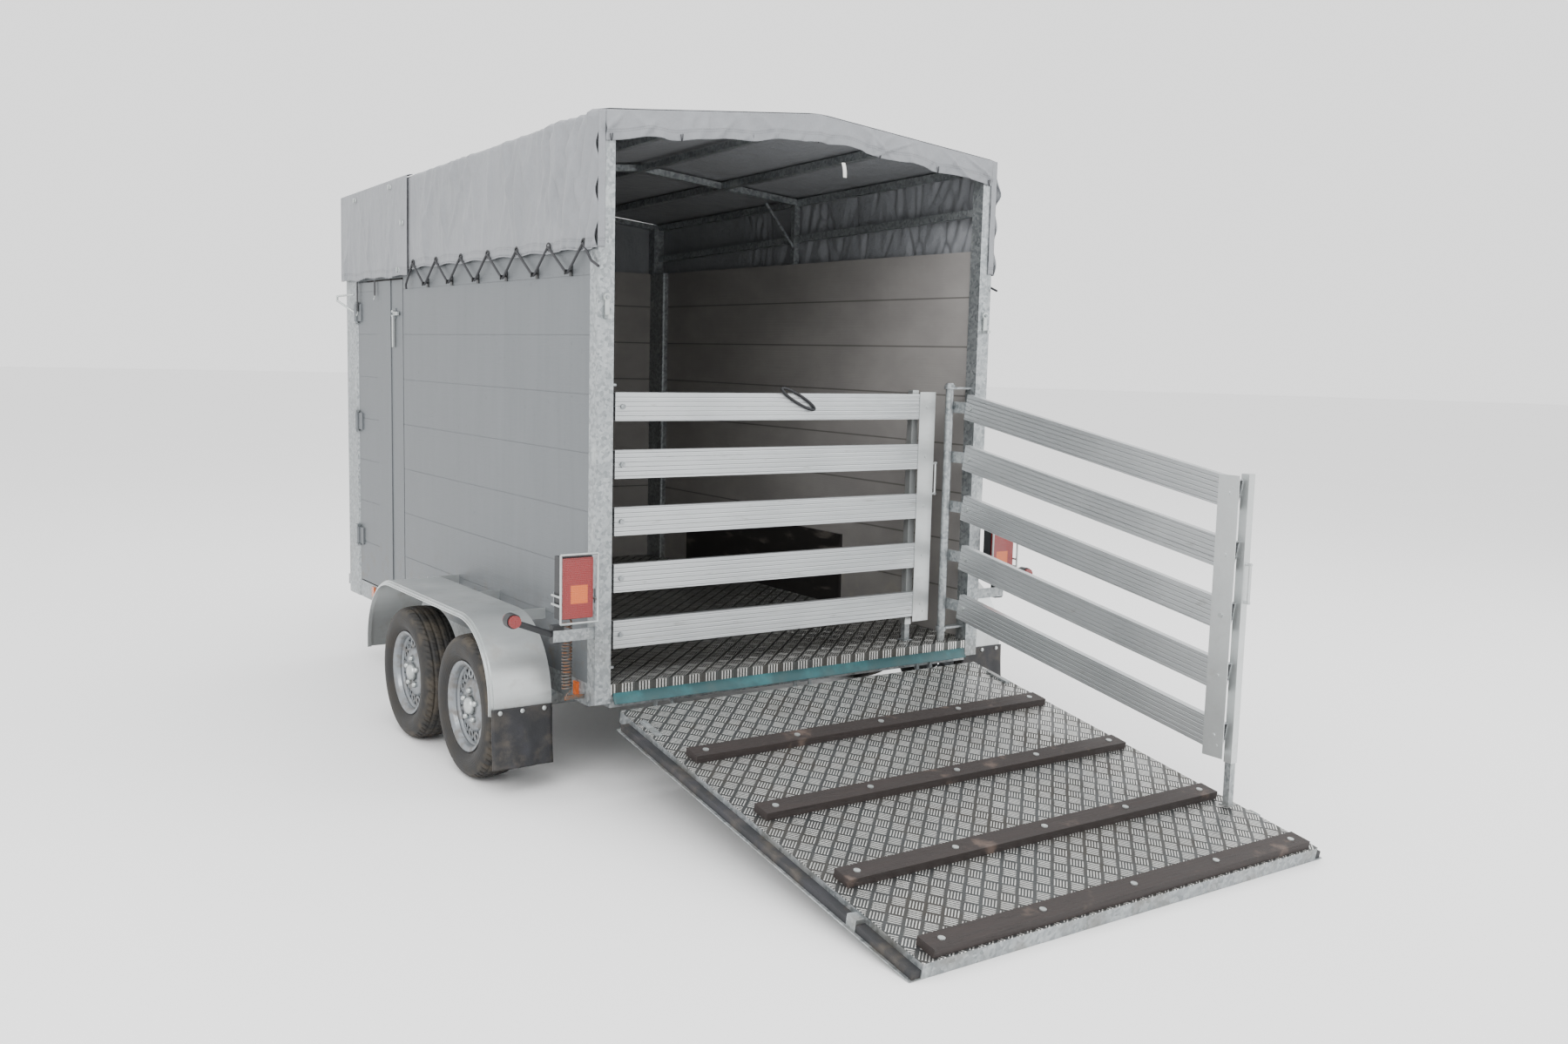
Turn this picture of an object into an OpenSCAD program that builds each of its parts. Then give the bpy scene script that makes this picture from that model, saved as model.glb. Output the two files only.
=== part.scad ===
// Tandem-axle livestock trailer with a drop ramp, two guard gates and a canvas roof.
// +X is the right side seen from behind, +Y runs forward to the coupling, +Z is up.
// The origin is on the ground, under the middle of the overall box.

/* [Body] */
// Width over the side walls
body_w = 1740; // [1500:10:1900]
// Length from the rear face of the portal to the front wall
body_l = 2730; // [2600:10:3400]
// Height of the floor above the ground
floor_z = 400; // [380:5:440]
// Height of the top of the side walls
wall_top = 1980; // [1900:10:2200]
// Thickness of the wall planks
wall_t = 25; // [18:1:30]
// Height of one wall plank
plank_h = 200; // [100:10:300]
// Width of the square portal posts
post = 60; // [50:1:70]

/* [Roof] */
// Height of the eaves at the rear
eave_rear = 2325; // [2250:5:2500]
// Fall of the roof from the rear to the front
roof_fall = 77; // [0:1:120]
// Rise from the eaves to the ridge
ridge_rise = 84; // [40:2:200]
// Square section of the roof tubes
roof_tube = 30; // [25:1:40]
// Thickness of the canvas skin
canvas_t = 4; // [2:0.5:6]
// Height of the canvas hem on the sides
canvas_hem = 1880; // [1850:5:1920]
// Depth of the valance over the rear opening
valance = 95; // [60:5:150]

/* [Ramp] */
// Length of the ramp from its hinge
ramp_l = 1660; // [1400:10:1700]
// Width of the ramp deck
ramp_w = 1616; // [1400:2:1700]
// Height of the ramp hinge above the ground
hinge_z = 291; // [280:1:300]
// Distance of the ramp hinge behind the portal
hinge_back = 40; // [38:1:60]
// Deck surface above the hinge axis
deck_up = 35; // [30:1:40]
// Underside of the ramp below the hinge axis
deck_down = 11; // [8:1:14]
// Width of a cleat
cleat_w = 70; // [50:1:90]
// Height of a cleat
cleat_h = 25; // [15:1:30]

/* [Gates] */
// Number of slats in a gate
slats = 5; // [5:1:5]
// Height of a slat
slat_h = 100; // [80:1:110]
// Distance between slats, centre to centre
slat_pitch = 200; // [190:1:210]
// Thickness of a slat
slat_t = 25; // [20:1:30]
// Height of the lowest slat's lower edge when the gate is level
slat_z = 505; // [490:1:520]
// Slat length between pivots on the left gate
left_reach = 1370; // [1200:5:1370]
// Slat length between pivots on the right gate
right_reach = 1265; // [1150:5:1270]
// Droop of an open gate, in degrees
droop = 9.8; // [5:0.1:12]

/* [Running gear] */
// Diameter of a tyre
tyre_d = 522; // [500:2:560]
// Width of a tyre
tyre_w = 157; // [140:1:165]
// Diameter of the rim seat
rim_d = 305; // [280:1:330]
// Outer faces of the tyres, across the trailer
track_out = 2350; // [2300:5:2450]
// Position of the rear axle ahead of the portal
axle_y = 471; // [450:1:600]
// Distance between the axles
wheelbase = 607; // [580:1:650]

/* [Drawbar] */
// Distance from the front wall to the centre of the coupling ball
drawbar_l = 1270; // [1100:10:1600]
// Height of the coupling ball's centre
ball_z = 430; // [400:1:460]
// Diameter of the coupling ball
ball_d = 50; // [50:1:50]

/* [Hidden] */
$fn = 48;

// Shared gaps
air = 0.5;         // between flat faces of different bodies
run = 0.06;        // radial, round pin in its bore

// Ramp slope, from the tip's lower edge resting on the ground
ramp_slope = asin(hinge_z / sqrt(ramp_l * ramp_l + deck_down * deck_down)) - atan(deck_down / ramp_l);
ramp_gap = 18;     // from the hinge axis to the near end of the deck
deck_t = 3;        // checker plate
rail_w = 40;       // ramp side rail
flange_w = 37;     // side flange beyond the deck
pin_r = 8;         // ramp hinge pin
cleat_at = [435, 845, 1255, 1618]; // centre of each cleat from the hinge

// Overall box, and the shift that centres it
head_l = 62;       // coupling head ahead of the ball
y_front = body_l + drawbar_l + head_l;
y_rear = -hinge_back - ramp_l * cos(ramp_slope) - deck_up * sin(ramp_slope);
y_mid = (y_front + y_rear) / 2;

// Body
hw = body_w / 2;
post_x = hw + 5;               // outer face of the posts
post_z = 334;                  // lower end of the rear posts
rail_h = 80;                   // chassis rail
tube_t = 3;                    // wall of the steel tubes
plate_t = 3;                   // floor plate
rail_top = floor_z - plate_t;
door_y0 = body_l - 805;        // latch edge of the side door
door_y1 = body_l - 175;        // hinge edge of the side door
door_top = 1840;
column_y = body_l - 168;       // rear face of the front corner columns
door_gap = 8;

// Roof
roof_tilt = atan(roof_fall / body_l);
rafter_a = atan(ridge_rise / post_x);
frame_drop = 34;               // roof tubes under the eave line
side_rail_z = 2120;

// Gates
tube_r = 16;                   // hinge tube
lug_t = 6;
lug_v = slat_t / 2 + air + 0.3;
bolt_r = 5;
head_r = 9;
head_t = 6;
slat_over = 28;                // slat beyond its pivot
slat_wall = 3;
strip_w = 80;
strip_t = 3;
end_tube = 30;
end_wall = 2.5;
foot_s = end_tube - 2 * end_wall - 1;
left_axis = [-hw + 80, 95.5];  // hinge axis of the left gate, inside the post
right_axis = [hw - 149.5, 47]; // hinge axis of the right gate, behind the left gate's plane
left_lug = 55;                 // hinge axis to slat pivot
right_lug = 140;
gate_top = slat_z + (slats - 1) * slat_pitch + slat_h;

// Running gear
wheel_x = track_out / 2 - tyre_w / 2;
guard_in = hw + 85;            // inner edge of the mudguards
guard_x = track_out / 2 + 8;
guard_y0 = 175;
guard_y1 = 1504;
guard_top = 608;
guard_low = 290;
guard_r = 285;
guard_t = 2;

// Cord along the canvas hem
cord_r = 4;
eyelet_y = 93;
eyelet_pitch = 276;
eyelets = 7;
eyelet_z = 1903;
hook_y = 212;
hook_pitch = 278;
hook_z = 1815;
cord_x = post_x + air + canvas_t + cord_r + 3;
cord_end_rear = [[-24, 1822], [30, 1842]];
cord_end_front = [[1828, 1796], [1836, 1812]];

module place() translate([0, -y_mid, 0]) children();

module both_sides() {
  children();
  mirror([1, 0, 0]) children();
}

module block(low, high) translate(low) cube(high - low);

// Closed square or rectangular tube between two corners, hollow by t
module hollow(low, high, t = tube_t) difference() {
  block(low, high);
  block(low + [t, t, t], high - [t, t, t]);
}

module rod(a, b, r) {
  d = b - a;
  l = norm(d);
  translate(a) rotate([0, acos(d[2] / l), atan2(d[1], d[0])]) cylinder(r = r, h = l, $fn = 24);
}

module round_rect(w, h, r) {
  translate([r, 0]) square([w - 2 * r, h]);
  translate([0, r]) square([w, h - 2 * r]);
  for (x = [r, w - r], y = [r, h - r]) translate([x, y]) circle(r);
}

// Ramp frame: origin on the hinge axis, ramp running towards -Y, deck surface at +deck_up
module on_ramp() place() translate([0, -hinge_back, hinge_z]) rotate([ramp_slope, 0, 0]) children();

// Gate frame: u along the leaf from the hinge axis, v through its thickness, z up
module on_left() place() translate([left_axis[0], left_axis[1], 0]) children();
module on_right() place() translate([right_axis[0], right_axis[1], 0]) rotate([0, 0, -90]) children();

function slat_mid(i) = slat_z + slat_h / 2 + (i - 1) * slat_pitch;

// ---------------------------------------------------------------- chassis

module cross_member(y, w = 40) hollow([-hw + 60, y, rail_top - rail_h], [hw - 60, y + w, rail_top]);

module hinge_lugs() for (x = [-600, 0, 600], s = [-1, 1])
  translate([x + s * 34 - 6, 0, 0]) difference() {
    union() {
      block([0, -hinge_back, hinge_z - 13], [12, 5, hinge_z + 13]);
      block([0, 0, hinge_z - 13], [12, 5 + tube_t, rail_top - rail_h + 20]);
      translate([0, -hinge_back, hinge_z]) rotate([0, 90, 0]) cylinder(r = 13, h = 12);
    }
    translate([-1, -hinge_back, hinge_z]) rotate([0, 90, 0]) cylinder(r = pin_r, h = 14);
  }

module chassis_frame() color("#9aa5a3") place() {
  both_sides() {
    hollow([hw - 60, post, rail_top - rail_h], [hw, column_y, rail_top]);
    hollow([hw - 60, body_l, rail_top - rail_h + 20], [hw - 20, body_l + 95, rail_top - 10]);
  }
  difference() {
    union() {
      hollow([-hw + 55, 5, rail_top - rail_h], [hw - 55, post, rail_top]);
      hinge_lugs();
    }
    block([-hw + 55 + tube_t, 5 + tube_t, rail_top - rail_h + tube_t],
      [hw - 55 - tube_t, post - tube_t, rail_top - tube_t]);
  }
  cross_member(780);
  for (y = [1450, 1950]) cross_member(y);
  hollow([-post_x + 62, column_y, rail_top - rail_h], [post_x - 62, body_l, rail_top]);
  for (x = [-600, 0, 600]) translate([x - 40, -hinge_back, hinge_z]) rotate([0, 90, 0])
    cylinder(r = pin_r, h = 80);
}

module axles() color("#8d9694") place() for (y = [axle_y, axle_y + wheelbase]) {
  difference() {
    block([-hw + 20, y - 40, rail_top - rail_h - 80], [hw - 20, y + 40, rail_top - rail_h]);
    block([-hw + 25, y - 35, rail_top - rail_h - 75], [hw - 25, y + 35, rail_top - rail_h - 5]);
  }
  both_sides() {
    block([hw - 20, y - 22, tyre_d / 2 - 30], [hw + 8, y + 22, rail_top - rail_h - 6]);
    translate([hw + 8, y, tyre_d / 2]) rotate([0, 90, 0]) cylinder(r = 20, h = wheel_x - hw + 2);
  }
}

module floor_plate() color("#8c9496") place() {
  difference() {
    block([-hw + wall_t + 2, 2, rail_top], [hw - wall_t - 2, body_l - wall_t - 2, floor_z]);
    both_sides() for (y = [[-1, post + 2], [column_y - 2, body_l]])
      block([post_x - 64, y[0], rail_top - 1], [hw, y[1], floor_z + 1]);
  }
  block([-hw + 56, -1, rail_top - 34], [hw - 56, 2, floor_z]);
}

// ---------------------------------------------------------------- walls

module planks(y0, y1, z0, z1) difference() {
  block([hw - wall_t, y0, z0], [hw, y1, z1]);
  for (z = [z0 + plank_h : plank_h : z1 - 20]) block([hw - 1.5, y0 - 1, z - 1.5], [hw + 1, y1 + 1, z + 1.5]);
}

module side_wall_right() color("#7e8386") place()
  planks(post, column_y, rail_top, wall_top);

module side_wall_left() color("#7e8386") place() mirror([1, 0, 0]) {
  planks(post, door_y0 - door_gap, rail_top, wall_top);
  block([hw - wall_t, door_y0 - door_gap, door_top + door_gap], [hw, column_y, wall_top]);
}

module front_wall() color("#7e8386") place() difference() {
  block([-post_x + 62, body_l - wall_t, rail_top], [post_x - 62, body_l, wall_top]);
  for (z = [rail_top + plank_h : plank_h : wall_top - 20])
    block([-hw, body_l - 1.5, z - 1.5], [hw, body_l + 1, z + 1.5]);
}

module front_posts() color("#a9b5b2") place() both_sides() {
  difference() {
    translate([post_x - 62, column_y, rail_top - rail_h])
      linear_extrude(wall_top - rail_top + rail_h) round_rect(62, body_l - column_y, 12);
    translate([post_x - 62 + tube_t, column_y + tube_t, rail_top - rail_h + tube_t])
      linear_extrude(wall_top - rail_top + rail_h - 2 * tube_t)
        round_rect(62 - 2 * tube_t, body_l - column_y - 2 * tube_t, 9);
  }
  for (z = door_hinges) {
    translate([post_x + 5, door_y1 + 4, z - 52]) cylinder(r = 5, h = 104);
    for (s = [-52, 42]) block([post_x, door_y1 - 5, z + s], [post_x + 14, column_y + 30, z + s + 10]);
  }
}
door_hinges = [620, 1180, 1700];

// Bracket that carries a gate's hinge tube
module tube_eye(axis, from, z) difference() {
  union() {
    block([min(from[0], axis[0]), min(from[1], axis[1]) - 14, z],
      [max(from[0], axis[0]), max(from[1], axis[1]) + 14, z + 8]);
    translate([axis[0], axis[1], z]) cylinder(r = tube_r + 7, h = 8);
  }
  translate([axis[0], axis[1], z - 1]) cylinder(r = tube_r + run, h = 10);
}

module rear_posts() color("#a9b5b2") place() {
  both_sides() {
    hollow([post_x - post, 0, post_z], [post_x, post, wall_top]);
    block([post_x, 10, 690], [post_x + 150, 14, 740]);
    block([post_x, 10, 566], [post_x + 150, 14, 606]);
    block([post_x, 60, 640], [post_x + 90, 66, 664]);
    translate([post_x - 30, -2, latch_z]) rotate([90, 0, 0]) cylinder(r = 6, h = 14);
    block([post_x - 45, -2, latch_z - 15], [post_x - 15, 0, latch_z + 15]);
  }
  for (z = eye_z) {
    difference() {
      tube_eye(right_axis, [post_x - post, 40], z);
      block([post_x - post, -50, z - 1], [post_x, 150, z + 20]);
    }
    difference() {
      tube_eye(left_axis, [-post_x + post, 40], z);
      block([-post_x, -50, z - 1], [-post_x + post, post, z + 20]);
      block([-post_x, -50, z - 1], [-hw + wall_t + 3, 200, z + 20]);
    }
  }
}
latch_z = 1722;
eye_z = [450, gate_top + 22];

module kick_board() color("#1d1f22") place()
  block([hw - wall_t - 12, 900, floor_z], [hw - wall_t, 2300, floor_z + 330]);

// ---------------------------------------------------------------- roof

// Legs, rails and rafters of the roof, with their section reduced by g on every side
module roof_bars(g = 0) {
  s = roof_tube - 2 * g;
  rafter_l = post_x / cos(rafter_a) + (g > 0 ? -20 : 2);
  rafter_x = post_x - 4;
  both_sides() {
    for (y = [0, body_l - post])
      block([post_x - post + g, y + g, wall_top + g], [post_x - g, y + post - g, roof_leg(y) - g]);
    block([bow_x + g, bow_y + g, wall_top + g],
      [bow_x + roof_tube - g, bow_y + roof_tube - g, roof_leg(bow_y) - g]);
  }
  translate([0, 0, eave_rear - frame_drop]) rotate([-roof_tilt, 0, 0]) {
    both_sides() {
      block([post_x - roof_tube + g, g + 6, g], [post_x - g, body_l - g - 6, roof_tube - g]);
      for (y = [8, bow_y, body_l - roof_tube - 8]) translate([rafter_x, y + g, 0])
        rotate([0, rafter_a, 0]) block([-rafter_l, 0, g + 1], [-g, s, roof_tube - g - 1]);
      translate([post_x, 0, 0]) rotate([0, rafter_a, 0])
        block([-post_x * 0.52 + g, g + 7, g], [-post_x * 0.52 + roof_tube - g, body_l - g - 7, roof_tube - g]);
      translate([0, 0, side_rail_z - eave_rear + frame_drop])
        block([post_x - roof_tube + g - 6, g + 20, g], [post_x - 6 - g, body_l - 20 - g, roof_tube - g]);
    }
    block([-roof_tube / 2 + g, g + 7, ridge_rise - 4 + g],
      [roof_tube / 2 - g, body_l - g - 7, ridge_rise + roof_tube - 9 - g]);
  }
}

// Flat brace from a middle bow leg up to its rafter
module roof_brace() translate([bow_x + 6, bow_y + 9, wall_top + 70]) rotate([0, -40, 0])
  block([0, 0, 0], [10, 12, 262]);

bow_y = 1340;
bow_x = hw - wall_t - 8;         // inner face of the middle bow's legs
function roof_leg(y) = eave_rear - frame_drop + 12 - y * tan(roof_tilt);

module roof_frame() color("#a9b5b2") place() {
  difference() {
    roof_bars();
    roof_bars(tube_t);
  }
  both_sides() roof_brace();
}

// Section of the covered space, in x and z, grown outwards by g
module roof_section(g = 0) polygon([[-post_x - g, -900], [-post_x - g, g], [0, ridge_rise + g * 1.01],
  [post_x + g, g], [post_x + g, -900]]);

module roof_prism(g, y0, y1, drop = 0) intersection() {
  translate([0, 0, eave_rear - drop]) rotate([-roof_tilt, 0, 0]) rotate([90, 0, 0])
    translate([0, 0, -body_l - 300]) linear_extrude(body_l + 600) roof_section(g);
  block([-2000, y0, canvas_hem - 200], [2000, y1, 3000]);
}

module canvas() color("#a5a7ab") place() {
  flap_x = post_x + air + canvas_t;
  difference() {
    roof_prism(air + canvas_t, -air - canvas_t, body_l + air + canvas_t);
    roof_prism(air, -air, body_l + air);
    roof_prism(-26, -50, 20, valance);
    block([-2000, -500, 0], [2000, 5000, canvas_hem]);
  }
  difference() {
    block([-flap_x - canvas_t, door_y0 - 95, door_top + 10], [-flap_x, body_l + 6, eave_rear - roof_fall + 18]);
    translate([0, 0, eave_rear - 6]) rotate([-roof_tilt, 0, 0])
      block([-2000, -100, 0], [0, 5000, 200]);
  }
}

// ---------------------------------------------------------------- cord and rods

// One ring of a swept round cord at point p, square to direction d
function ring(p, d, r, n) =
  let (t = d / norm(d), s = cross(t, [1, 0, 0]) / norm(cross(t, [1, 0, 0])), q = cross(t, s))
  [for (i = [0 : n - 1]) p + r * (cos(360 * i / n) * s + sin(360 * i / n) * q)];

module sweep(path, r, n = 8) {
  m = len(path);
  pts = [for (i = [0 : m - 1])
    each ring(path[i], path[min(i + 1, m - 1)] - path[max(i - 1, 0)], r, n)];
  sides = [for (i = [0 : m - 2], j = [0 : n - 1]) [
    i * n + j, i * n + (j + 1) % n, (i + 1) * n + (j + 1) % n, (i + 1) * n + j]];
  polyhedron(pts, concat([[for (j = [n - 1 : -1 : 0]) j]], sides, [[for (j = [0 : n - 1]) (m - 1) * n + j]]),
    convexity = 6);
}

function cord_corners() = concat(
  [for (p = cord_end_rear) [cord_x, p[0], p[1]]],
  [for (i = [0 : eyelets - 1]) each concat(
    [[cord_x, eyelet_y + i * eyelet_pitch, eyelet_z]],
    i < eyelets - 1 ? [
      [cord_x + 1, hook_y + i * hook_pitch - 7, hook_z - 7],
      [cord_x + 1, hook_y + i * hook_pitch, hook_z - 8.5],
      [cord_x + 1, hook_y + i * hook_pitch + 7, hook_z - 7]] : [])],
  [for (k = [1, 0]) [cord_x, cord_end_front[k][0], cord_end_front[k][1]]]);

module shock_cords() color("#15171a") place() both_sides() sweep(cord_corners(), cord_r);

module hook() {
  block([hw, -10, -18], [hw + 4, 10, 18]);
  rod([hw + 4, 0, 0], [cord_x + 12, 0, 0], 4);
  rod([cord_x + 9, 0, 2], [cord_x + 9, 0, -14], 3);
}

// Bent rod through a list of points, with round corners
module bent_rod(points, r) {
  for (i = [0 : len(points) - 2]) rod(points[i], points[i + 1], r);
  for (i = [1 : len(points) - 2]) translate(points[i]) sphere(r = r + 0.5, $fn = 24);
}

module tie_loop(y, z) difference() {
  bent_rod([[post_x - 10, y - 30, z + 45], [post_x + 62, y + 25, z + 34],
    [post_x + 62, y + 25, z + 12], [post_x - 10, y - 30, z - 45]], 5);
  block([post_x - 40, y - 60, z - 80], [post_x, y + 60, z + 80]);
}

module lamp_guard() {
  x0 = post_x + 20;
  x1 = post_x + 156;
  for (z = [640, 872]) rod([x0, -56, z], [x1, -56, z], 4);
  for (x = [x0, x1]) rod([x, -56, 640], [x, -56, 872], 4);
  for (z = [700, 730]) rod([x1, -56, z], [x1, 12, z], 4);
  rod([x0, -56, 715], [x0, 10, 715], 4);
}

module rod_fittings() color("#b9c1c0") place() both_sides() {
  for (j = [0 : eyelets - 2]) translate([0, hook_y + j * hook_pitch, hook_z]) hook();
  for (i = [0 : eyelets - 1]) translate([post_x + air + canvas_t, eyelet_y + i * eyelet_pitch, eyelet_z])
    rotate([0, 90, 0]) rotate_extrude() translate([9, 0]) square([5, 2]);
  tie_loop(column_y + 80, 1745);
  lamp_guard();
}

// ---------------------------------------------------------------- running gear

// Outline of the mudguard tunnel in y and z, inset by g
module guard_outline(g) {
  y0 = guard_y0 + g;
  y1 = guard_y1 - g;
  r = guard_r - g;
  translate([y0, guard_low - 20]) square([y1 - y0, guard_top - g - r - guard_low + 20]);
  translate([y0 + r, guard_low]) square([y1 - y0 - 2 * r, guard_top - g - guard_low]);
  for (y = [y0 + r, y1 - r]) translate([y, guard_top - g - r]) circle(r, $fn = 96);
}

module guard_slab(g, x0, x1) translate([x0, 0, 0]) rotate([90, 0, 90]) linear_extrude(x1 - x0) guard_outline(g);

module mudguards() color("#b5bab8") place() both_sides() {
  guard_shell();
  for (y = [guard_y0 + 240, (guard_y0 + guard_y1) / 2, guard_y1 - 240])
    block([hw, y - 3, guard_top - 40], [guard_in + 50, y + 3, guard_top - 1]);
}

module guard_shell() difference() {
  union() {
    guard_slab(0, guard_in, guard_x - 14);
    guard_slab(6, guard_x - 14, guard_x - 5);
    guard_slab(14, guard_x - 5, guard_x);
  }
  guard_slab(guard_t, guard_in - 1, guard_x - 16);
  guard_slab(14 + guard_t * 2, guard_in - 1, guard_x + 1);
  block([hw - 1, 0, 0], [guard_x + 1, 3000, guard_low]);
}

module mud_flaps() color("#1b1d21") place() both_sides() {
  block([guard_in, guard_y0 - 5, 105], [guard_x - 4, guard_y0, guard_low + 25]);
  for (x = [guard_in + 30, (guard_in + guard_x) / 2, guard_x - 34]) translate([x, guard_y0 - 5, guard_low + 12])
    rotate([90, 0, 0]) cylinder(r = 7, h = 3);
}

module tyre_profile() {
  r = tyre_d / 2;
  h = tyre_w / 2;
  b = rim_d / 2;
  polygon([[b + 0.5, -h + 29], [b + 10, -h + 25], [b + 12, -h + 8], [b + 40, -h], [r - 34, -h + 2],
    [r - 12, -h + 14], [r - 2, -h + 34], [r, 0], [r - 2, h - 34], [r - 12, h - 14], [r - 34, h - 2],
    [b + 40, h], [b + 12, h - 8], [b + 10, h - 25], [b + 0.5, h - 29]]);
}

// Barrel of a rim with its two flanges
module barrel_profile() {
  b = rim_d / 2;
  h = tyre_w / 2 - 18;
  polygon([[b - 6, -h], [b + 7, -h], [b + 7, -h + 4], [b, -h + 4], [b, h - 4], [b + 7, h - 4],
    [b + 7, h], [b - 6, h]]);
}

// Dished disc of a rim, with the bore that turns on the stub axle
module disc_profile() {
  b = rim_d / 2;
  polygon([[20 + run, 6], [40, 6], [50, 19], [84, 15], [110, 24], [b - 4, 20], [b - 4, 28],
    [112, 33], [84, 24], [54, 30], [46, 42], [20 + run, 42]]);
}

// Wheel about the z axis, outer face up
module wheel_parts() {
  rotate_extrude($fn = 96) tyre_profile();
  difference() {
    union() {
      rotate_extrude($fn = 96) barrel_profile();
      rotate_extrude($fn = 96) disc_profile();
    }
    for (a = [0 : 24 : 359]) rotate([0, 0, a]) translate([122, 0, 0]) cylinder(r = 9, h = 60, $fn = 24);
  }
}

module wheel(side, y) color("#3a3a3a") place() translate([side * wheel_x, y, tyre_d / 2])
  rotate([0, side * 90, 0]) wheel_parts();

module wheel_rear_left() wheel(-1, axle_y);
module wheel_front_left() wheel(-1, axle_y + wheelbase);
module wheel_rear_right() wheel(1, axle_y);
module wheel_front_right() wheel(1, axle_y + wheelbase);

// ---------------------------------------------------------------- rear lamps and springs

module lamp_bodies() color("#191a1c") place() both_sides() {
  block([post_x + 28, -30, 650], [post_x + 148, 10, 862]);
  block([post_x + 110, 14, 560], [post_x + 150, 44, 622]);
  rod([post_x + 150, 30, 592], [guard_x - 30, 30, 642], 11);
  translate([guard_x - 18, 52, 650]) rotate([90, 0, 0]) cylinder(r = 25, h = 36);
}

module lamp_lenses() color("#b0211e") place() both_sides() {
  block([post_x + 32, -44, 654], [post_x + 144, -30, 858]);
  for (y = [16, 64]) translate([guard_x - 18, y, 650]) rotate([90, 0, 0]) cylinder(r = 21, h = 12);
  for (y = [148, 2360]) block([hw, y - 16, rail_top - 56], [hw + 8, y + 16, rail_top - 8]);
}

module lift_springs() color("#6f665a") place() both_sides() {
  difference() {
    translate([spring_x, spring_y, 372]) cylinder(r = 19, h = 250);
    translate([spring_x, spring_y, 380]) cylinder(r = 14, h = 234);
  }
  translate([spring_x, spring_y, 622]) cylinder(r = 5, h = 30);
  translate([spring_x, spring_y, 345]) cylinder(r = 5, h = 27);
  block([hw, spring_y - 3, 340], [spring_x + 8, spring_y + 3, 356]);
}
spring_x = post_x + 62;
spring_y = 92;

module threshold_flap() color("#2f6b70") place() rotate([0, 90, 0]) translate([0, 0, -ramp_w / 2 + 2])
  linear_extrude(ramp_w - 4) polygon([[-rail_top + 32, -1], [-rail_top + 32, -5], [-346, -15],
    [-342, -14], [-342, -10], [-rail_top + 34, -1]]);

// ---------------------------------------------------------------- drawbar

module drawbar() color("#9aa5a3") place() {
  difference() {
    union() {
      both_sides() drawbar_arm(0);
      translate([jockey_x, jockey_y, clamp_z]) cylinder(r = 31, h = 46);
      block([jockey_x, jockey_y - 20, clamp_z], [jockey_x + 75, jockey_y + 20, clamp_z + 46]);
    }
    both_sides() drawbar_arm(tube_t);
    translate([jockey_x, jockey_y, clamp_z - 1]) cylinder(r = leg_r + run, h = 48);
    block([-arm_x - 80, body_l - 60, 0], [arm_x + 80, body_l, 1000]);
  }
  block([-70, y_front - 420, rail_top - rail_h], [70, y_front - 160, rail_top - rail_h + 6]);
}
arm_x = 560;
arm_end = body_l + drawbar_l - 260;
arm_a = atan((arm_x - 35) / (arm_end - body_l));
module drawbar_arm(g) translate([arm_x, body_l, rail_top - rail_h]) rotate([0, 0, arm_a])
  block([-60 + g, g, g], [-g, (arm_end - body_l) / cos(arm_a) - g, 60 - g]);

module coupling_body() color("#4b5054") place() {
  y_ball = body_l + drawbar_l;
  block([-45, y_ball - 420, rail_top - rail_h + 60], [45, y_ball - 180, ball_z + 30]);
  translate([0, y_ball - 190, ball_z]) rotate([-90, 0, 0]) cylinder(r = 22, h = 140);
  difference() {
    union() {
      block([-30, y_ball - 60, ball_z - 20], [30, y_ball + 20, ball_z + 38]);
      translate([0, y_ball, ball_z - 24]) cylinder(r = 36, h = 60);
      block([-20, y_ball + 10, ball_z - 16], [20, y_ball + head_l, ball_z + 12]);
    }
    translate([0, y_ball, ball_z - 40]) cylinder(r = ball_d / 2 + 0.3, h = 40);
    translate([0, y_ball, ball_z]) sphere(r = ball_d / 2 + 0.3);
  }
}

handle_y = body_l + drawbar_l - 10;
handle_r = 6;                  // rounded pivot end, half the handle's thickness
module coupling_handle() color("#1d1f22") place() {
  translate([-16, handle_y - handle_r, ball_z + 38 + air + handle_r]) rotate([90, 0, 90]) linear_extrude(32) {
    translate([-124, -handle_r]) square([124, 2 * handle_r]);
    circle(handle_r);
  }
  rod([-30, handle_y - 130, ball_z + 48], [30, handle_y - 130, ball_z + 48], 8);
}

brake_y = body_l + drawbar_l - 300;
module handbrake_lever() color("#b0211e") place() {
  block([45 + air, brake_y - 14, ball_z - 4], [54, brake_y + 14, ball_z + 200]);
  translate([50, brake_y, ball_z + 200]) cylinder(r = 13, h = 110);
  rod([45 + air, brake_y, ball_z + 4], [62, brake_y, ball_z + 4], 12);
}

jockey_x = 92;
jockey_y = body_l + 640;
leg_r = 22;
clamp_z = rail_top - rail_h + 8;
module jockey_leg() color("#a9b5b2") place() {
  translate([jockey_x, jockey_y, 240]) cylinder(r = leg_r, h = 520);
  translate([jockey_x, jockey_y, 760]) cylinder(r = 8, h = 40);
  rod([jockey_x, jockey_y, 796], [jockey_x + 110, jockey_y, 796], 7);
  block([jockey_x - 40, jockey_y - 30, 232], [jockey_x + 40, jockey_y + 30, 240]);
  for (s = [-40, 36]) block([jockey_x + s, jockey_y - 18, 88], [jockey_x + s + 4, jockey_y + 18, 232]);
  rod([jockey_x - 40, jockey_y, 100], [jockey_x + 40, jockey_y, 100], 8);
}

module jockey_wheel() color("#26282a") place() translate([jockey_x - 30, jockey_y, 100]) rotate([0, 90, 0])
  difference() {
    cylinder(r = 100, h = 60, $fn = 64);
    translate([0, 0, -1]) cylinder(r = 8 + run, h = 62);
  }

// ---------------------------------------------------------------- side door

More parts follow.
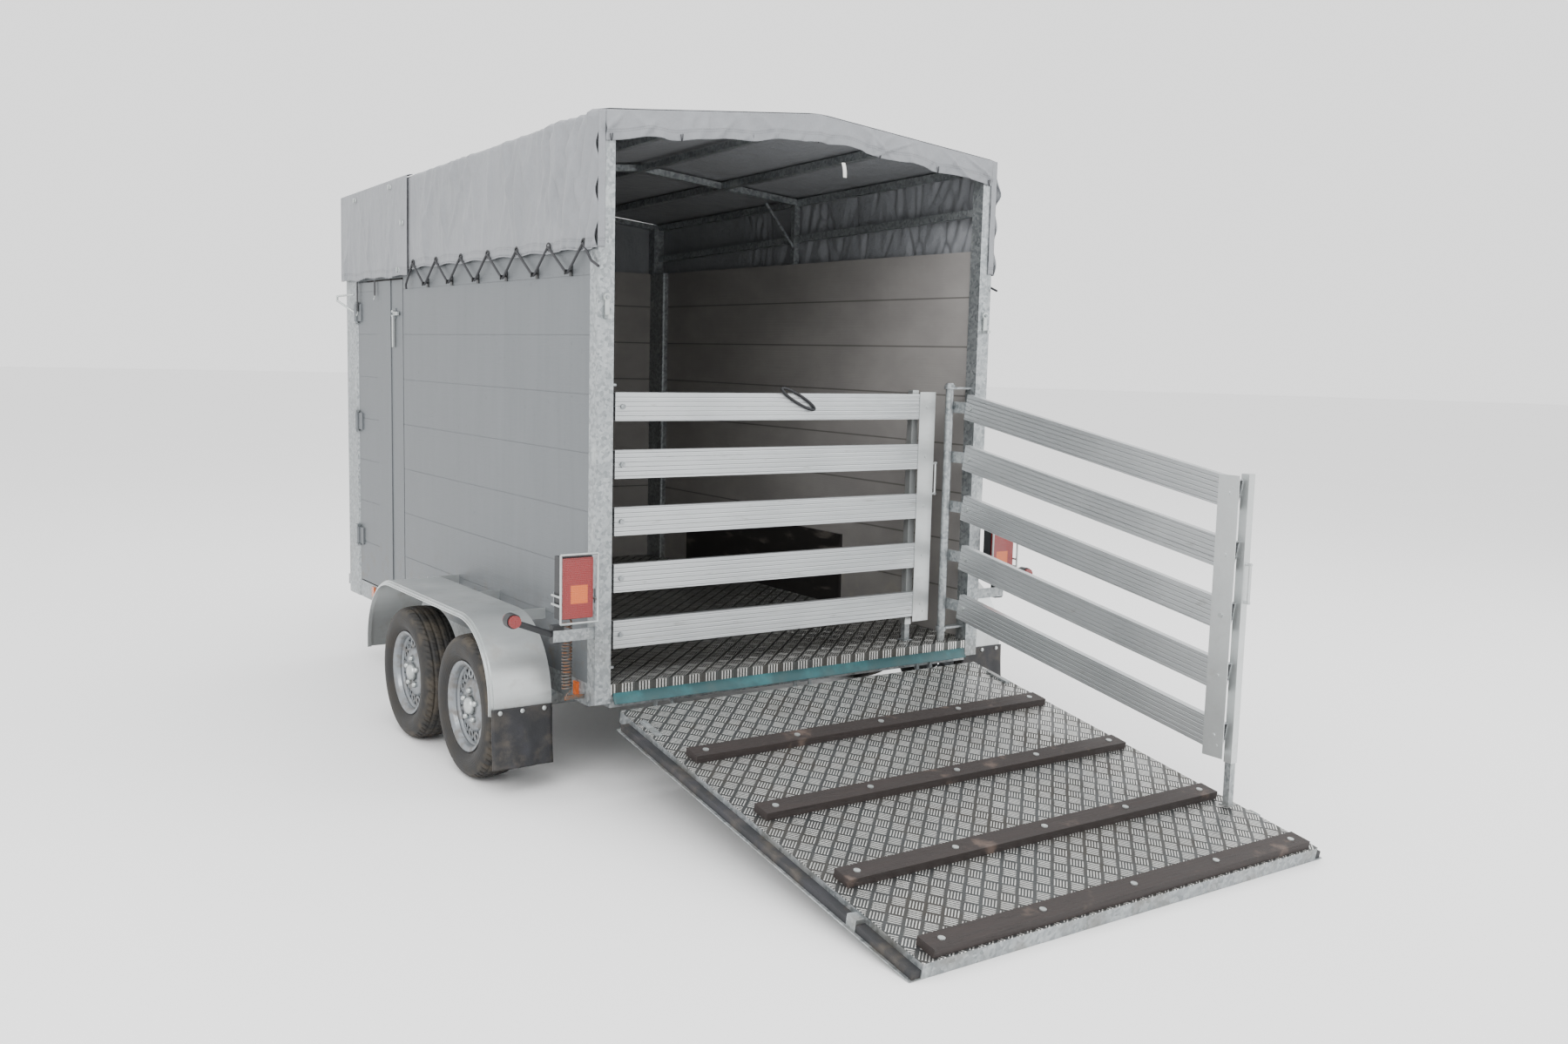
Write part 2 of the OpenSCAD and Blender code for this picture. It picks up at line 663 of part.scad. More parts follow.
module side_door() color("#7e8386") place() mirror([1, 0, 0]) {
  stile = 150;
  difference() {
    block([hw - wall_t, door_y0, rail_top + 6], [hw, door_y1, door_top]);
    for (z = [rail_top + plank_h : plank_h : door_top - 20])
      block([hw - 1.5, door_y0 + 330, z - 1.5], [hw + 1, door_y1 + 1, z + 1.5]);
    block([hw - 4, door_y0 + stile - 2, rail_top + 5], [hw + 1, door_y0 + stile + 2, door_top + 1]);
    for (z = [700, 1150, 1600]) block([hw - 6, door_y0 + 240, z], [hw + 1, door_y0 + 252, z + 40]);
  }
  block([hw, door_y0 + stile + 2, rail_top + 6], [hw + 4, door_y0 + 330, door_top]);
  for (z = door_hinges) difference() {
    union() {
      translate([post_x + 5, door_y1 + 4, z - 40]) cylinder(r = 9, h = 80);
      block([hw, door_y1 - 60, z - 40], [post_x + 3, door_y1 - 2, z + 40]);
    }
    translate([post_x + 5, door_y1 + 4, z - 41]) cylinder(r = 5 + run, h = 82);
  }
  translate([hw, latch_y, door_latch_z]) rotate([0, 90, 0]) cylinder(r = 6, h = 22);
  block([hw, latch_y - 24, door_latch_z - 24], [hw + 4, latch_y + 24, door_latch_z + 24]);
}
latch_y = door_y0 + 105;
door_latch_z = 1690;

module door_latch() color("#b9c1c0") place() mirror([1, 0, 0]) {
  difference() {
    union() {
      translate([hw + 5, latch_y, door_latch_z]) rotate([0, 90, 0]) cylinder(r = 16, h = 8);
      block([hw + 5, latch_y - 9, door_latch_z - 150], [hw + 12, latch_y + 9, door_latch_z]);
      block([hw + 5, latch_y - 70, door_latch_z - 8], [hw + 12, latch_y, door_latch_z + 8]);
    }
    translate([hw + 4, latch_y, door_latch_z]) rotate([0, 90, 0]) cylinder(r = 6 + run, h = 10);
  }
}

// ---------------------------------------------------------------- ramp

module ramp_bar(x0, x1, d0, d1, h0, h1, t = tube_t) hollow([x0, -d1, h0], [x1, -d0, h1], t);

module ramp_deck() color("#a4abad") on_ramp()
  block([-ramp_w / 2, -ramp_l, deck_up - deck_t], [ramp_w / 2, -ramp_gap, deck_up]);

module ramp_frame() color("#8d9694") on_ramp() {
  rw = ramp_w / 2;
  h1 = deck_up - deck_t;
  low = -deck_down + 3;
  both_sides() ramp_bar(rw - rail_w, rw, ramp_gap + rail_w, ramp_l - rail_w, low, h1);
  ramp_bar(-rw, rw, ramp_gap, ramp_gap + rail_w, low, h1);
  ramp_bar(-rw, rw, ramp_l - rail_w, ramp_l, low, h1);
  for (d = cleat_at) if (d < ramp_l - 60) ramp_bar(-rw + rail_w, rw - rail_w, d - 20, d + 20, low, h1);
  both_sides() block([rw - rail_w, -ramp_l, -deck_down], [rw + flange_w, -ramp_gap - 50, low]);
  block([-rw + rail_w, -ramp_l, -deck_down], [rw - rail_w, -ramp_l + rail_w, low]);
  for (x = [-600, 0, 600]) difference() {
    union() {
      translate([x - 27.5, 0, 0]) rotate([0, 90, 0]) cylinder(r = 13, h = 55);
      block([x - 27.5, -ramp_gap, -8], [x + 27.5, 0, 13]);
    }
    translate([x - 29, 0, 0]) rotate([0, 90, 0]) cylinder(r = pin_r + run, h = 58);
  }
  both_sides() {
    block([rw, -1420, low], [rw + 30, -1380, low + 34]);
    block([rw - 34, -250, deck_up], [rw - 14, -130, deck_up + 8]);
  }
}

module ramp_seals() color("#17181a") on_ramp() both_sides() for (span = [[80, 1378], [1422, ramp_l - 4]])
  block([ramp_w / 2, -span[1], 3 - deck_down], [ramp_w / 2 + flange_w - 9, -span[0], 14]);

module ramp_cleats() color("#3e2f2c") on_ramp() for (d = cleat_at)
  block([-ramp_w / 2 + 38, -d - cleat_w / 2, deck_up], [ramp_w / 2 - 38, -d + cleat_w / 2, deck_up + cleat_h]);

module cleat_bolts() color("#c5cccb") on_ramp() for (d = cleat_at, k = [0 : 4])
  translate([(k - 2) * (ramp_w / 2 - 90) / 2, -d, deck_up + cleat_h]) cylinder(r = 10, h = 3);

module ramp_latch(side) color("#b9c1c0") place() difference() {
  union() {
    translate([side * (post_x - 30), -2 - air, latch_z]) rotate([90, 0, 0]) cylinder(r = 14, h = 8);
    block([side * (post_x - 30) - 8, -10, latch_z - 70], [side * (post_x - 30) + 8, -2 - air, latch_z]);
    block([side * (post_x - 30) - 8, -34, latch_z - 70], [side * (post_x - 30) + 8, -10, latch_z - 58]);
  }
  translate([side * (post_x - 30), 0, latch_z]) rotate([90, 0, 0]) cylinder(r = 6 + run, h = 20);
}

module ramp_latch_left() ramp_latch(-1);
module ramp_latch_right() ramp_latch(1);

// ---------------------------------------------------------------- gates

// Hinge tube with one lug for each slat; bolts are part of it when fixed
module gate_tube(lug, fixed) {
  difference() {
    translate([0, 0, floor_z + air]) cylinder(r = tube_r, h = gate_top + 45 - floor_z);
    translate([0, 0, floor_z + air + 4]) cylinder(r = tube_r - tube_t, h = gate_top + 37 - floor_z);
  }
  for (z = [eye_z[0] - 8 - air, eye_z[1] + 8 + air]) difference() {
    translate([0, 0, z]) cylinder(r = tube_r + 5, h = 8);
    translate([0, 0, z - 1]) cylinder(r = tube_r - 1, h = 10);
  }
  for (i = [1 : slats]) difference() {
    union() {
      block([tube_r * 0.5, lug_v, slat_mid(i) - 22], [lug + 20, lug_v + lug_t, slat_mid(i) + 22]);
      if (fixed) translate([lug, 0, slat_mid(i)]) gate_bolt();
    }
    if (!fixed) translate([lug, 0, slat_mid(i)]) rotate([-90, 0, 0]) cylinder(r = bolt_r + run, h = 60);
    translate([0, 0, slat_mid(i) - 30]) cylinder(r = tube_r - 1, h = 60);
  }
}

// Bolt along v: head on the strip side, nut beyond the lug
module gate_bolt() rotate([-90, 0, 0]) {
  translate([0, 0, -slat_t / 2 - air - head_t]) cylinder(r = head_r, h = head_t);
  translate([0, 0, -slat_t / 2 - air]) cylinder(r = bolt_r, h = slat_t + 2 * air + lug_t + 8);
  translate([0, 0, lug_v + lug_t + 0.3]) cylinder(r = head_r, h = 7, $fn = 6);
}

// Hollow slat with shallow grooves, pivots at u = 0 and u = reach
module slat(reach) difference() {
  block([-slat_over, -slat_t / 2, -slat_h / 2], [reach + 26, slat_t / 2, slat_h / 2]);
  for (z = [-slat_h / 2 + slat_wall, 1.5])
    block([-slat_over - 1, -slat_t / 2 + slat_wall, z], [reach + 27, slat_t / 2 - slat_wall, z + slat_h / 2 - slat_wall - 1.5]);
  for (z = [-24, 22]) block([-slat_over - 1, -slat_t / 2 - 1, z], [reach + 27, -slat_t / 2 + 1, z + 2]);
  for (u = [0, reach]) translate([u, -slat_t, 0]) rotate([-90, 0, 0])
    cylinder(r = bolt_r + run, h = 2 * slat_t);
}

module drooped(a) rotate([0, a, 0]) children();

// End of a gate about slat 3's pivot: cover strip, square tube, pivot pins and handle
module gate_end(tube_u, grip_u, loose) {
  v1 = slat_t / 2 + air;
  grip_v = tube_u > 0 ? v1 + 15 : -v1 - strip_t / 2;
  low = slat_mid(1) - slat_mid(3) - slat_h / 2 - 22;
  high = slat_mid(5) - slat_mid(3) + slat_h / 2 + 8;
  difference() {
    union() {
      block([-strip_w / 2, -v1 - strip_t, low], [strip_w / 2, -v1, high]);
      block([tube_u, v1, low - 16], [tube_u + end_tube, v1 + end_tube, high + 6]);
      for (i = [1 : slats]) translate([0, 0, slat_mid(i) - slat_mid(3)]) {
        block([min(tube_u, -12), v1, -15], [max(tube_u + end_tube, 12), v1 + 4, 15]);
        if (!(loose && i == 3)) translate([0, -v1 - strip_t, 0]) rotate([-90, 0, 0]) {
          cylinder(r = bolt_r, h = 2 * v1 + strip_t + 4);
          translate([0, 0, -3]) cylinder(r = 7, h = 3);
        }
      }
      for (z = [low + 40, high - 40]) translate([14, -v1 - strip_t - 2, z]) rotate([-90, 0, 0])
        cylinder(r = 5, h = 3);
      for (z = [-62, 62]) rod([grip_u, grip_v, z + grip_z], [grip_u + 20, grip_v, z + grip_z], 5);
      rod([grip_u + 15, grip_v, grip_z - 67], [grip_u + 15, grip_v, grip_z + 67], 5);
    }
    block([tube_u + end_wall, v1 + end_wall, low - 17], [tube_u + end_tube - end_wall, v1 + end_tube - end_wall, high + 3]);
    if (loose) translate([0, -60, 0]) rotate([-90, 0, 0]) cylinder(r = bolt_r + run, h = 120);
  }
}
grip_z = 110;

// Sliding foot inside the end tube, about slat 3's pivot
module gate_foot(tube_u, bottom) {
  v1 = slat_t / 2 + air;
  u = tube_u + end_wall + 0.5;
  block([u, v1 + end_wall + 0.5, bottom + 4], [u + foot_s, v1 + end_wall + 0.5 + foot_s, bottom + 330]);
  block([u - 8, v1 + end_wall - 7.5, bottom], [u + foot_s + 8, v1 + end_wall + 8.5 + foot_s, bottom + 4]);
}

left_tube_u = -55;
right_tube_u = 25;
left_foot_z = floor_z + air - slat_mid(3);
// Ramp surface under the right gate's foot, and the foot's height above slat 3's pivot
right_end_u = right_reach * cos(droop);
right_foot_d = right_lug + right_end_u + 55 - right_axis[1] - hinge_back;
right_deck_z = hinge_z + deck_up / cos(ramp_slope) - (right_foot_d - 50) * tan(ramp_slope);
right_foot_z = right_deck_z + 3 - (slat_mid(3) - right_reach * sin(droop));

module left_slat(i) color("#d5d8d8") on_left() translate([left_lug, 0, slat_mid(i)]) slat(left_reach);
module left_slat_1() left_slat(1);
module left_slat_2() left_slat(2);
module left_slat_3() left_slat(3);
module left_slat_4() left_slat(4);
module left_slat_5() left_slat(5);
module left_gate_tube() color("#a9b5b2") on_left() gate_tube(left_lug, true);
module left_gate_end() color("#dde2e0") on_left()
  translate([left_lug + left_reach, 0, slat_mid(3)]) gate_end(left_tube_u, 38, false);
module left_foot() color("#a9b5b2") on_left()
  translate([left_lug + left_reach, 0, slat_mid(3)]) gate_foot(left_tube_u, left_foot_z);

module right_pivot(i) on_right() translate([right_lug, 0, slat_mid(i)]) children();
module right_end_at() right_pivot(3) translate([right_end_u, 0, -right_reach * sin(droop)]) children();
module right_slat(i) color("#d5d8d8") right_pivot(i) drooped(droop) slat(right_reach);
module right_slat_1() right_slat(1);
module right_slat_2() right_slat(2);
module right_slat_3() right_slat(3);
module right_slat_4() right_slat(4);
module right_slat_5() right_slat(5);
module right_bolt(i) color("#c5cccb") right_pivot(i) gate_bolt();
module right_bolt_1() right_bolt(1);
module right_bolt_2() right_bolt(2);
module right_bolt_3() right_bolt(3);
module right_bolt_4() right_bolt(4);
module right_bolt_5() right_bolt(5);
module right_gate_tube() color("#a9b5b2") on_right() gate_tube(right_lug, false);
module right_end_bolt() color("#c5cccb") right_end_at() rotate([-90, 0, 0]) {
  v1 = slat_t / 2 + air + strip_t;
  translate([0, 0, -v1 - 0.3 - 4]) cylinder(r = 8, h = 4);
  translate([0, 0, -v1 - 0.3]) cylinder(r = bolt_r, h = 2 * v1 + 4);
  translate([0, 0, v1 + 1.5]) cylinder(r = 8, h = 5, $fn = 6);
}
module right_gate_end() color("#dde2e0") right_end_at() gate_end(right_tube_u, right_tube_u + end_tube, true);
module right_foot() color("#a9b5b2") right_end_at() gate_foot(right_tube_u, right_foot_z);

chassis_frame();
axles();
floor_plate();
side_wall_left();
side_wall_right();
front_wall();
front_posts();
rear_posts();
roof_frame();
canvas();
shock_cords();
rod_fittings();
mudguards();
mud_flaps();
lamp_bodies();
lamp_lenses();
lift_springs();
threshold_flap();
kick_board();
drawbar();
coupling_body();
coupling_handle();
handbrake_lever();
jockey_leg();
jockey_wheel();
side_door();
door_latch();
wheel_rear_left();
wheel_front_left();
wheel_rear_right();
wheel_front_right();
ramp_deck();
ramp_frame();
ramp_seals();
ramp_cleats();
cleat_bolts();
ramp_latch_left();
ramp_latch_right();
left_gate_tube();
left_slat_1();
left_slat_2();
left_slat_3();
left_slat_4();
left_slat_5();
left_gate_end();
left_foot();
right_gate_tube();
right_bolt_1();
right_bolt_2();
right_bolt_3();
right_bolt_4();
right_bolt_5();
right_slat_1();
right_slat_2();
right_slat_3();
right_slat_4();
right_slat_5();
right_end_bolt();
right_gate_end();
right_foot();
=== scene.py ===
import math

import bmesh
import bpy
import numpy as np
from mathutils import Matrix, Vector


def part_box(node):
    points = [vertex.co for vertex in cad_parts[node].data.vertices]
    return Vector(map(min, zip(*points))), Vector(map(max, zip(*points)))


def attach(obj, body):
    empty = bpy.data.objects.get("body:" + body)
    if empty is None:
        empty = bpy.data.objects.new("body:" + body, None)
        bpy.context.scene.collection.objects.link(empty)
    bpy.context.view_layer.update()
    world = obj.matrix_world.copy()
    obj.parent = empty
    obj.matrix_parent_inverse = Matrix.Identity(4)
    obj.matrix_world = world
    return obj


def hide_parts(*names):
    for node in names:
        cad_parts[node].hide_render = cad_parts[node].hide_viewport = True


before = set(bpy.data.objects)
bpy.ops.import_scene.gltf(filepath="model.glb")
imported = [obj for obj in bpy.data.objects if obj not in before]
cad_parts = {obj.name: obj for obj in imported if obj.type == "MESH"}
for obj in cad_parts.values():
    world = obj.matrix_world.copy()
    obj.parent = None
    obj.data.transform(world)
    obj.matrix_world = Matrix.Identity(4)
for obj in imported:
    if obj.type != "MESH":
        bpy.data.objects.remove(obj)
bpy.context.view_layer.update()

# ---------------------------------------------------------------- sizes, in metres
REAR = -1.18995          # rear face of the portal, from which distances forward are taken
HALF = 0.870             # half the width over the side walls
POST = 0.875             # outer face of the posts
BODY = 2.730             # length of the body
EAVE = 2.325             # eaves at the rear
FALL = 0.077             # fall of the roof towards the front
RISE = 0.084             # eaves to ridge
HEM = 1.880              # lower edge of the canvas
VALANCE = 0.095          # drop of the valance
VALANCE_X = 0.853        # half the width of the valance
TIE_PITCH = 0.2843       # distance between the valance's ties
FLAP_FROM = 1.800        # rear edge of the flap over the side door
FLAP_TO = 2.742          # front edge of the flap
EYELET_Z = 1.903
EYELET_PITCH = 0.276
EYELETS = 0.093 + EYELET_PITCH * np.arange(7)
HOOKS = 0.212 + 0.278 * np.arange(6)
AXLES = (0.471, 1.078)   # ahead of the portal
TYRE_R = 0.261           # height of the wheel centres
WHEEL_X = 1.0965         # middle of a tyre
BOWS = (0.02, 1.355, 2.71)      # roof bars


# ---------------------------------------------------------------- camera
def add_camera():
    """A level camera turned, tipped and rolled by three angles."""
    yaw, tip, roll = (math.radians(a) for a in (34.53, 6.806, 1.398))
    right = Vector((math.cos(yaw), -math.sin(yaw), 0))
    ahead = Vector((math.sin(yaw) * math.cos(tip), math.cos(yaw) * math.cos(tip), -math.sin(tip)))
    up = right.cross(ahead)
    across = math.cos(roll) * right + math.sin(roll) * up
    upward = math.cos(roll) * up - math.sin(roll) * right
    data = bpy.data.cameras.new("camera")
    data.sensor_width, data.lens, data.clip_end = 36, 31.81, 200
    camera = bpy.data.objects.new("camera", data)
    turn = Matrix((across, upward, -ahead)).transposed().to_4x4()
    camera.matrix_world = Matrix.Translation((-2.987, -5.37895, 1.540)) @ turn
    bpy.context.scene.collection.objects.link(camera)
    bpy.context.scene.camera = camera


add_camera()


# ---------------------------------------------------------------- finishes
def shade(code):
    """Linear colour of a hex code, by the sRGB curve."""
    parts = [int(code[i:i + 2], 16) / 255 for i in (1, 3, 5)]
    return tuple(c / 12.92 if c < 0.04 else ((c + 0.055) / 1.055) ** 2.4 for c in parts) + (1.0,)


class Value:
    """A shader socket. Arithmetic on it adds Math nodes."""

    def __init__(self, finish, socket):
        self.finish, self.socket = finish, socket

    def math(self, operation, *terms):
        return self.finish.make("ShaderNodeMath", {"operation": operation}, dict(enumerate(terms)))

    def __add__(self, other):
        return self.math("ADD", self, other)

    def __sub__(self, other):
        return self.math("SUBTRACT", self, other)

    def __rsub__(self, other):
        return self.math("SUBTRACT", other, self)

    def __mul__(self, other):
        return self.math("MULTIPLY", self, other)

    def __mod__(self, other):
        return self.math("FLOORED_MODULO", self, other)

    def __pow__(self, other):
        return self.math("POWER", self, other)

    def __abs__(self):
        return self.math("ABSOLUTE", self)

    __radd__, __rmul__ = __add__, __mul__

    def floor(self):
        return self.math("FLOOR", self)

    def fract(self):
        return self.math("FRACT", self)

    def sine(self):
        return self.math("SINE", self)

    def rise(self, low, high):
        """0 below low and 1 above high, with a smooth step between."""
        return self.finish.make("ShaderNodeMapRange", {"interpolation_type": "SMOOTHSTEP"},
                                {"Value": self, "From Min": low, "From Max": high})

    def near(self, centre, reach, soft):
        """1 within reach of centre, falling to 0 over soft."""
        return 1 - abs(self - centre).rise(reach, reach + soft)


class Finish:
    """One procedural material, worked out from the place of each point."""

    def __init__(self, name):
        self.material = bpy.data.materials.new(name)
        self.material.use_nodes = True
        self.material.node_tree.nodes.clear()
        self.place = self.make("ShaderNodeTexCoord", out="Object")
        self.x, self.y, self.z = (self.make("ShaderNodeSeparateXYZ", {}, {0: self.place}, k) for k in "XYZ")

    def make(self, kind, settings=None, sockets=None, out=0):
        """Adds a node: its settings first, then the value or link of each socket."""
        node = self.material.node_tree.nodes.new(kind)
        for key, value in (settings or {}).items():
            if key == "stops":
                stops = node.color_ramp.elements
                for at, colour in value[2:]:
                    stops.new(at)
                for stop, (at, colour) in zip(stops, sorted(value)):
                    stop.position, stop.color = at, colour
            else:
                setattr(node, key, value)
        for key, value in (sockets or {}).items():
            if isinstance(value, Value):
                self.material.node_tree.links.new(value.socket, node.inputs[key])
            else:
                node.inputs[key].default_value = value
        return Value(self, node.outputs[out]) if node.outputs else None

    def stretched(self, factors):
        return self.make("ShaderNodeVectorMath", {"operation": "MULTIPLY"}, {0: self.place, 1: factors})

    def noise(self, scale, detail=4, factors=None, rough=0.55):
        where = self.stretched(factors) if factors else self.place
        return self.make("ShaderNodeTexNoise", {}, {"Vector": where, "Scale": scale, "Detail": detail,
                                                    "Roughness": rough})

    def cells(self, scale):
        """A random level for each crystal-like cell."""
        colour = self.make("ShaderNodeTexVoronoi", {}, {"Vector": self.place, "Scale": scale}, "Color")
        return self.make("ShaderNodeSeparateColor", {}, {0: colour})

    def surface_map(self):
        """The piece's own across and along, in metres or turns."""
        both = self.make("ShaderNodeUVMap", {"uv_map": "across_along"})
        return tuple(self.make("ShaderNodeSeparateXYZ", {}, {0: both}, k) for k in "XY")

    def mix(self, mask, first, second):
        return self.make("ShaderNodeMix", {"data_type": "RGBA"}, {0: mask, 6: first, 7: second}, 2)

    def bump(self, height, distance, under=None, strength=1.0):
        sockets = {"Height": height, "Distance": distance, "Strength": strength}
        if under:
            sockets["Normal"] = under
        return self.make("ShaderNodeBump", {}, sockets)

    def checker_bars(self, across, along, cell=0.048):
        """Height of five-bar plate: groups of five bars set on the diagonal, each turned from the next."""
        s, t = (across + along) * (0.7071 / cell), (across - along) * (0.7071 / cell)
        turned = (s.floor() + t.floor()) % 2
        a, b = s.fract() - 0.5, t.fract() - 0.5
        lengthwise, crosswise = a + turned * (b - a), b + turned * (a - b)
        bar = abs((crosswise * 5.6 + 0.5).fract() - 0.5)
        return ((1 - bar.rise(0.15, 0.30)) * (1 - abs(lengthwise).rise(0.33, 0.43))
                * (1 - abs(crosswise).rise(0.45, 0.48)))

    def finish(self, colour, rough, metal=0.0, bump=None, **fixed):
        sockets = {"Base Color": colour, "Roughness": rough, "Metallic": metal}
        if bump:
            sockets["Normal"] = bump
        sockets.update({key.replace("_", " "): value for key, value in fixed.items()})
        shader = self.make("ShaderNodeBsdfPrincipled", {}, sockets)
        self.make("ShaderNodeOutputMaterial", {}, {"Surface": shader})
        return self.material


def galvanised(name="galvanised", light="#b4b8ba", dark="#6f7577"):
    """Dipped zinc: small crystals, slow cloudiness, white bloom and grime low down."""
    f = Finish(name)
    cloud, fine, crystal = f.noise(3.1, 3), f.noise(210, 2), f.cells(95)
    tone = crystal * 0.60 + cloud * 0.75 + fine * 0.15 - 0.25
    colour = f.mix(tone, shade(dark), shade(light))
    bloom = f.noise(11, 5).rise(0.58, 0.74)
    colour = f.mix(bloom * 0.35, colour, shade("#cfd4d1"))
    grime = (1 - f.z.rise(0.25, 0.75)) * f.noise(7, 5).rise(0.42, 0.7)
    colour = f.mix(grime * 0.5, colour, shade("#6f6a60"))
    return f.finish(colour, cloud * 0.25 + crystal * 0.12 + 0.26, 0.7, f.bump(fine + crystal * 0.5, 0.0006))


def wall_planks():
    """Drawn aluminium boards: fine lines along them and run marks outside, dark stained faces inside."""
    f = Finish("aluminium_planks")
    drawn = f.noise(60, 3, (0.04, 0.03, 6.0))
    runs = f.noise(9, 4, (2.0, 2.6, 0.22))
    patch = f.noise(2.2, 3)
    outside = f.mix(runs * 0.6 + patch * 0.5 - 0.05, shade("#5a5e61"), shade("#7b7f82"))
    outside = f.mix(f.noise(38, 3).rise(0.63, 0.75) * 0.25, outside, shade("#4c4f4f"))
    splash = (1 - f.z.rise(0.4, 0.75)) * f.noise(16, 5).rise(0.5, 0.72)
    outside = f.mix(splash * 0.55, outside, shade("#6a6154"))
    hidden = (1 - abs(f.x).rise(0.8455, 0.848)) * (1 - f.y.rise(1.5155, 1.518))
    stain = f.mix(f.noise(3, 5, (1, 1, 1.8)).rise(0.2, 0.85), shade("#858280"), shade("#979491"))
    joints = 1 - abs(((f.z - 0.397) * 5.0 + 0.5).fract() - 0.5).rise(0.010, 0.022)
    stain = f.mix(joints * 0.7, stain, shade("#4a4846"))
    stain = f.mix((1 - f.z.rise(0.45, 0.9)) * f.noise(14, 5).rise(0.5, 0.8) * 0.5, stain, shade("#a39d90"))
    colour = f.mix(hidden, outside, stain)
    rough = patch * 0.2 + runs * 0.15 + 0.3 + hidden * 0.1
    return f.finish(colour, rough, (1 - hidden) * 0.5, f.bump(drawn, 0.0007, f.bump(patch, 0.004)))


def checker_plate(name, light, dark):
    """Five-bar plate: bright worn bars over a duller, dusty ground."""
    f = Finish(name)
    bars = f.checker_bars(f.x, f.y)
    cloud, fine = f.noise(3.5, 4), f.noise(150, 3)
    ground = f.mix(cloud * 0.9 + fine * 0.3 - 0.1, shade(dark), shade(light))
    colour = f.mix(bars * (f.noise(9, 3) * 0.4 + 0.6), ground, shade("#f3f3ef"))
    dirt = (1 - bars) * f.noise(6, 6).rise(0.40, 0.68)
    colour = f.mix(dirt * 0.6, colour, shade("#45403a"))
    rough = cloud * 0.15 + 0.30 + dirt * 0.25 - bars * 0.1
    return f.finish(colour, rough, 0.75, f.bump(bars, 0.0032, f.bump(fine, 0.0005)))


def grooved_slat(name, slope):
    """Drawn aluminium slat: rounded grooves along its length with painted shade in them, and soft scuffs."""
    f = Finish(name)
    height = f.z + f.y * slope
    grooves = abs((height * 62).fract() - 0.5).rise(0.36, 0.5)
    hair = f.noise(80, 3, (0.05, 0.05, 5.0))
    cloud = f.noise(3.0, 3)
    colour = f.mix(cloud * 0.8 + hair * 0.2, shade("#a3a7a9"), shade("#cbcecf"))
    # Painted shade: each groove is coloured darker, standing in for the shade inside it.
    colour = f.mix(grooves * 0.25, colour, shade("#7c8082"))
    scuff = f.noise(30, 5, (0.4, 0.4, 1.6)).rise(0.62, 0.76)
    colour = f.mix(scuff * 0.35, colour, shade("#7c7872"))
    return f.finish(colour, cloud * 0.15 + 0.27 + scuff * 0.15, 0.78,
                    f.bump(1 - grooves, 0.0010, f.bump(hair, 0.0004)))


def bright_sheet(name, light="#dfe2e0", dark="#b4b8b7", rough=0.30):
    """Rolled aluminium sheet: brushed hairs, cloudy sheen, light road dirt."""
    f = Finish(name)
    cloud, hair = f.noise(4.5, 3), f.noise(55, 3, (0.2, 1.6, 1.6))
    colour = f.mix(cloud * 0.8 + hair * 0.25, shade(dark), shade(light))
    dust = f.noise(12, 6).rise(0.52, 0.75) * (1 - f.z.rise(0.35, 0.8) * 0.7)
    colour = f.mix(dust * 0.4, colour, shade("#867d70"))
    return f.finish(colour, cloud * 0.15 + rough + dust * 0.2, 0.8, f.bump(cloud + hair * 0.2, 0.0012))


def canvas_cloth():
    """Coated cloth: fine weave, cloudy grey, a doubled hem with two rows of stitching, rain marks."""
    f = Finish("canvas_cloth")
    across, along = f.surface_map()
    weave = ((across * 5200).sine() * (along * 5200).sine()) * 0.5 + 0.5
    cloud, marks = f.noise(2.4, 4), f.noise(7, 5, (1.5, 1.5, 0.35))
    colour = f.mix(cloud * 0.7 + marks * 0.4 - 0.05, shade("#73767a"), shade("#8b8d91"))
    colour = f.mix(f.noise(18, 6).rise(0.60, 0.78) * 0.2, colour, shade("#66686b"))
    stitch = (across.near(0.026, 0.0008, 0.0006) + across.near(0.033, 0.0008, 0.0006)) * \
        (1 - abs((along * 160).fract() - 0.5).rise(0.28, 0.34))
    doubled = 1 - across.rise(0.036, 0.0375)
    colour = f.mix(stitch * 0.6, colour, shade("#55575a"))
    colour = f.mix(doubled * 0.15, colour, shade("#63666a"))
    relief = weave * 0.12 + doubled * 0.9 - stitch * 0.4
    return f.finish(colour, cloud * 0.12 + 0.42 + marks * 0.08, 0.0,
                    f.bump(relief, 0.0012, f.bump(f.noise(9, 4) + f.noise(16, 3, (1, 1, 0.35)) * 0.6, 0.014)),
                    Sheen_Weight=0.08)


def rubber(name, base="#1b1c1f", worn="#34343a", rough=0.6):
    """Moulded rubber: grainy, chalky where it has been rubbed."""
    f = Finish(name)
    chalk, grain = f.noise(9, 5).rise(0.45, 0.75), f.noise(320, 2)
    colour = f.mix(chalk * 0.7, shade(base), shade(worn))
    dust = (1 - f.z.rise(0.1, 0.5)) * f.noise(14, 6).rise(0.45, 0.7)
    colour = f.mix(dust * 0.4, colour, shade("#5f564a"))
    return f.finish(colour, chalk * 0.15 + rough, 0.0, f.bump(grain + chalk, 0.0007))


def steel_rod(name="zinc_rod", light="#cfd3d2", dark="#8f9594"):
    """Bright zinc plate: slight yellowing, scuffs and a few rust specks."""
    f = Finish(name)
    cloud, speck = f.noise(22, 4), f.noise(120, 3).rise(0.68, 0.76)
    colour = f.mix(cloud, shade(dark), shade(light))
    colour = f.mix(speck * 0.5, colour, shade("#7a5638"))
    moulded = f.z.near(1.812, 0.024, 0.001) * (1 - f.y.rise(0.62, 0.63)) * (1 - abs(f.x).rise(0.905, 0.907))
    if name == "hook_rod":
        colour = f.mix(moulded, colour, shade("#141517"))
        return f.finish(colour, cloud * 0.25 + 0.27, (1 - moulded) * 0.75, f.bump(cloud, 0.0005))
    return f.finish(colour, cloud * 0.25 + 0.25 + speck * 0.2, 0.75, f.bump(cloud, 0.0005))


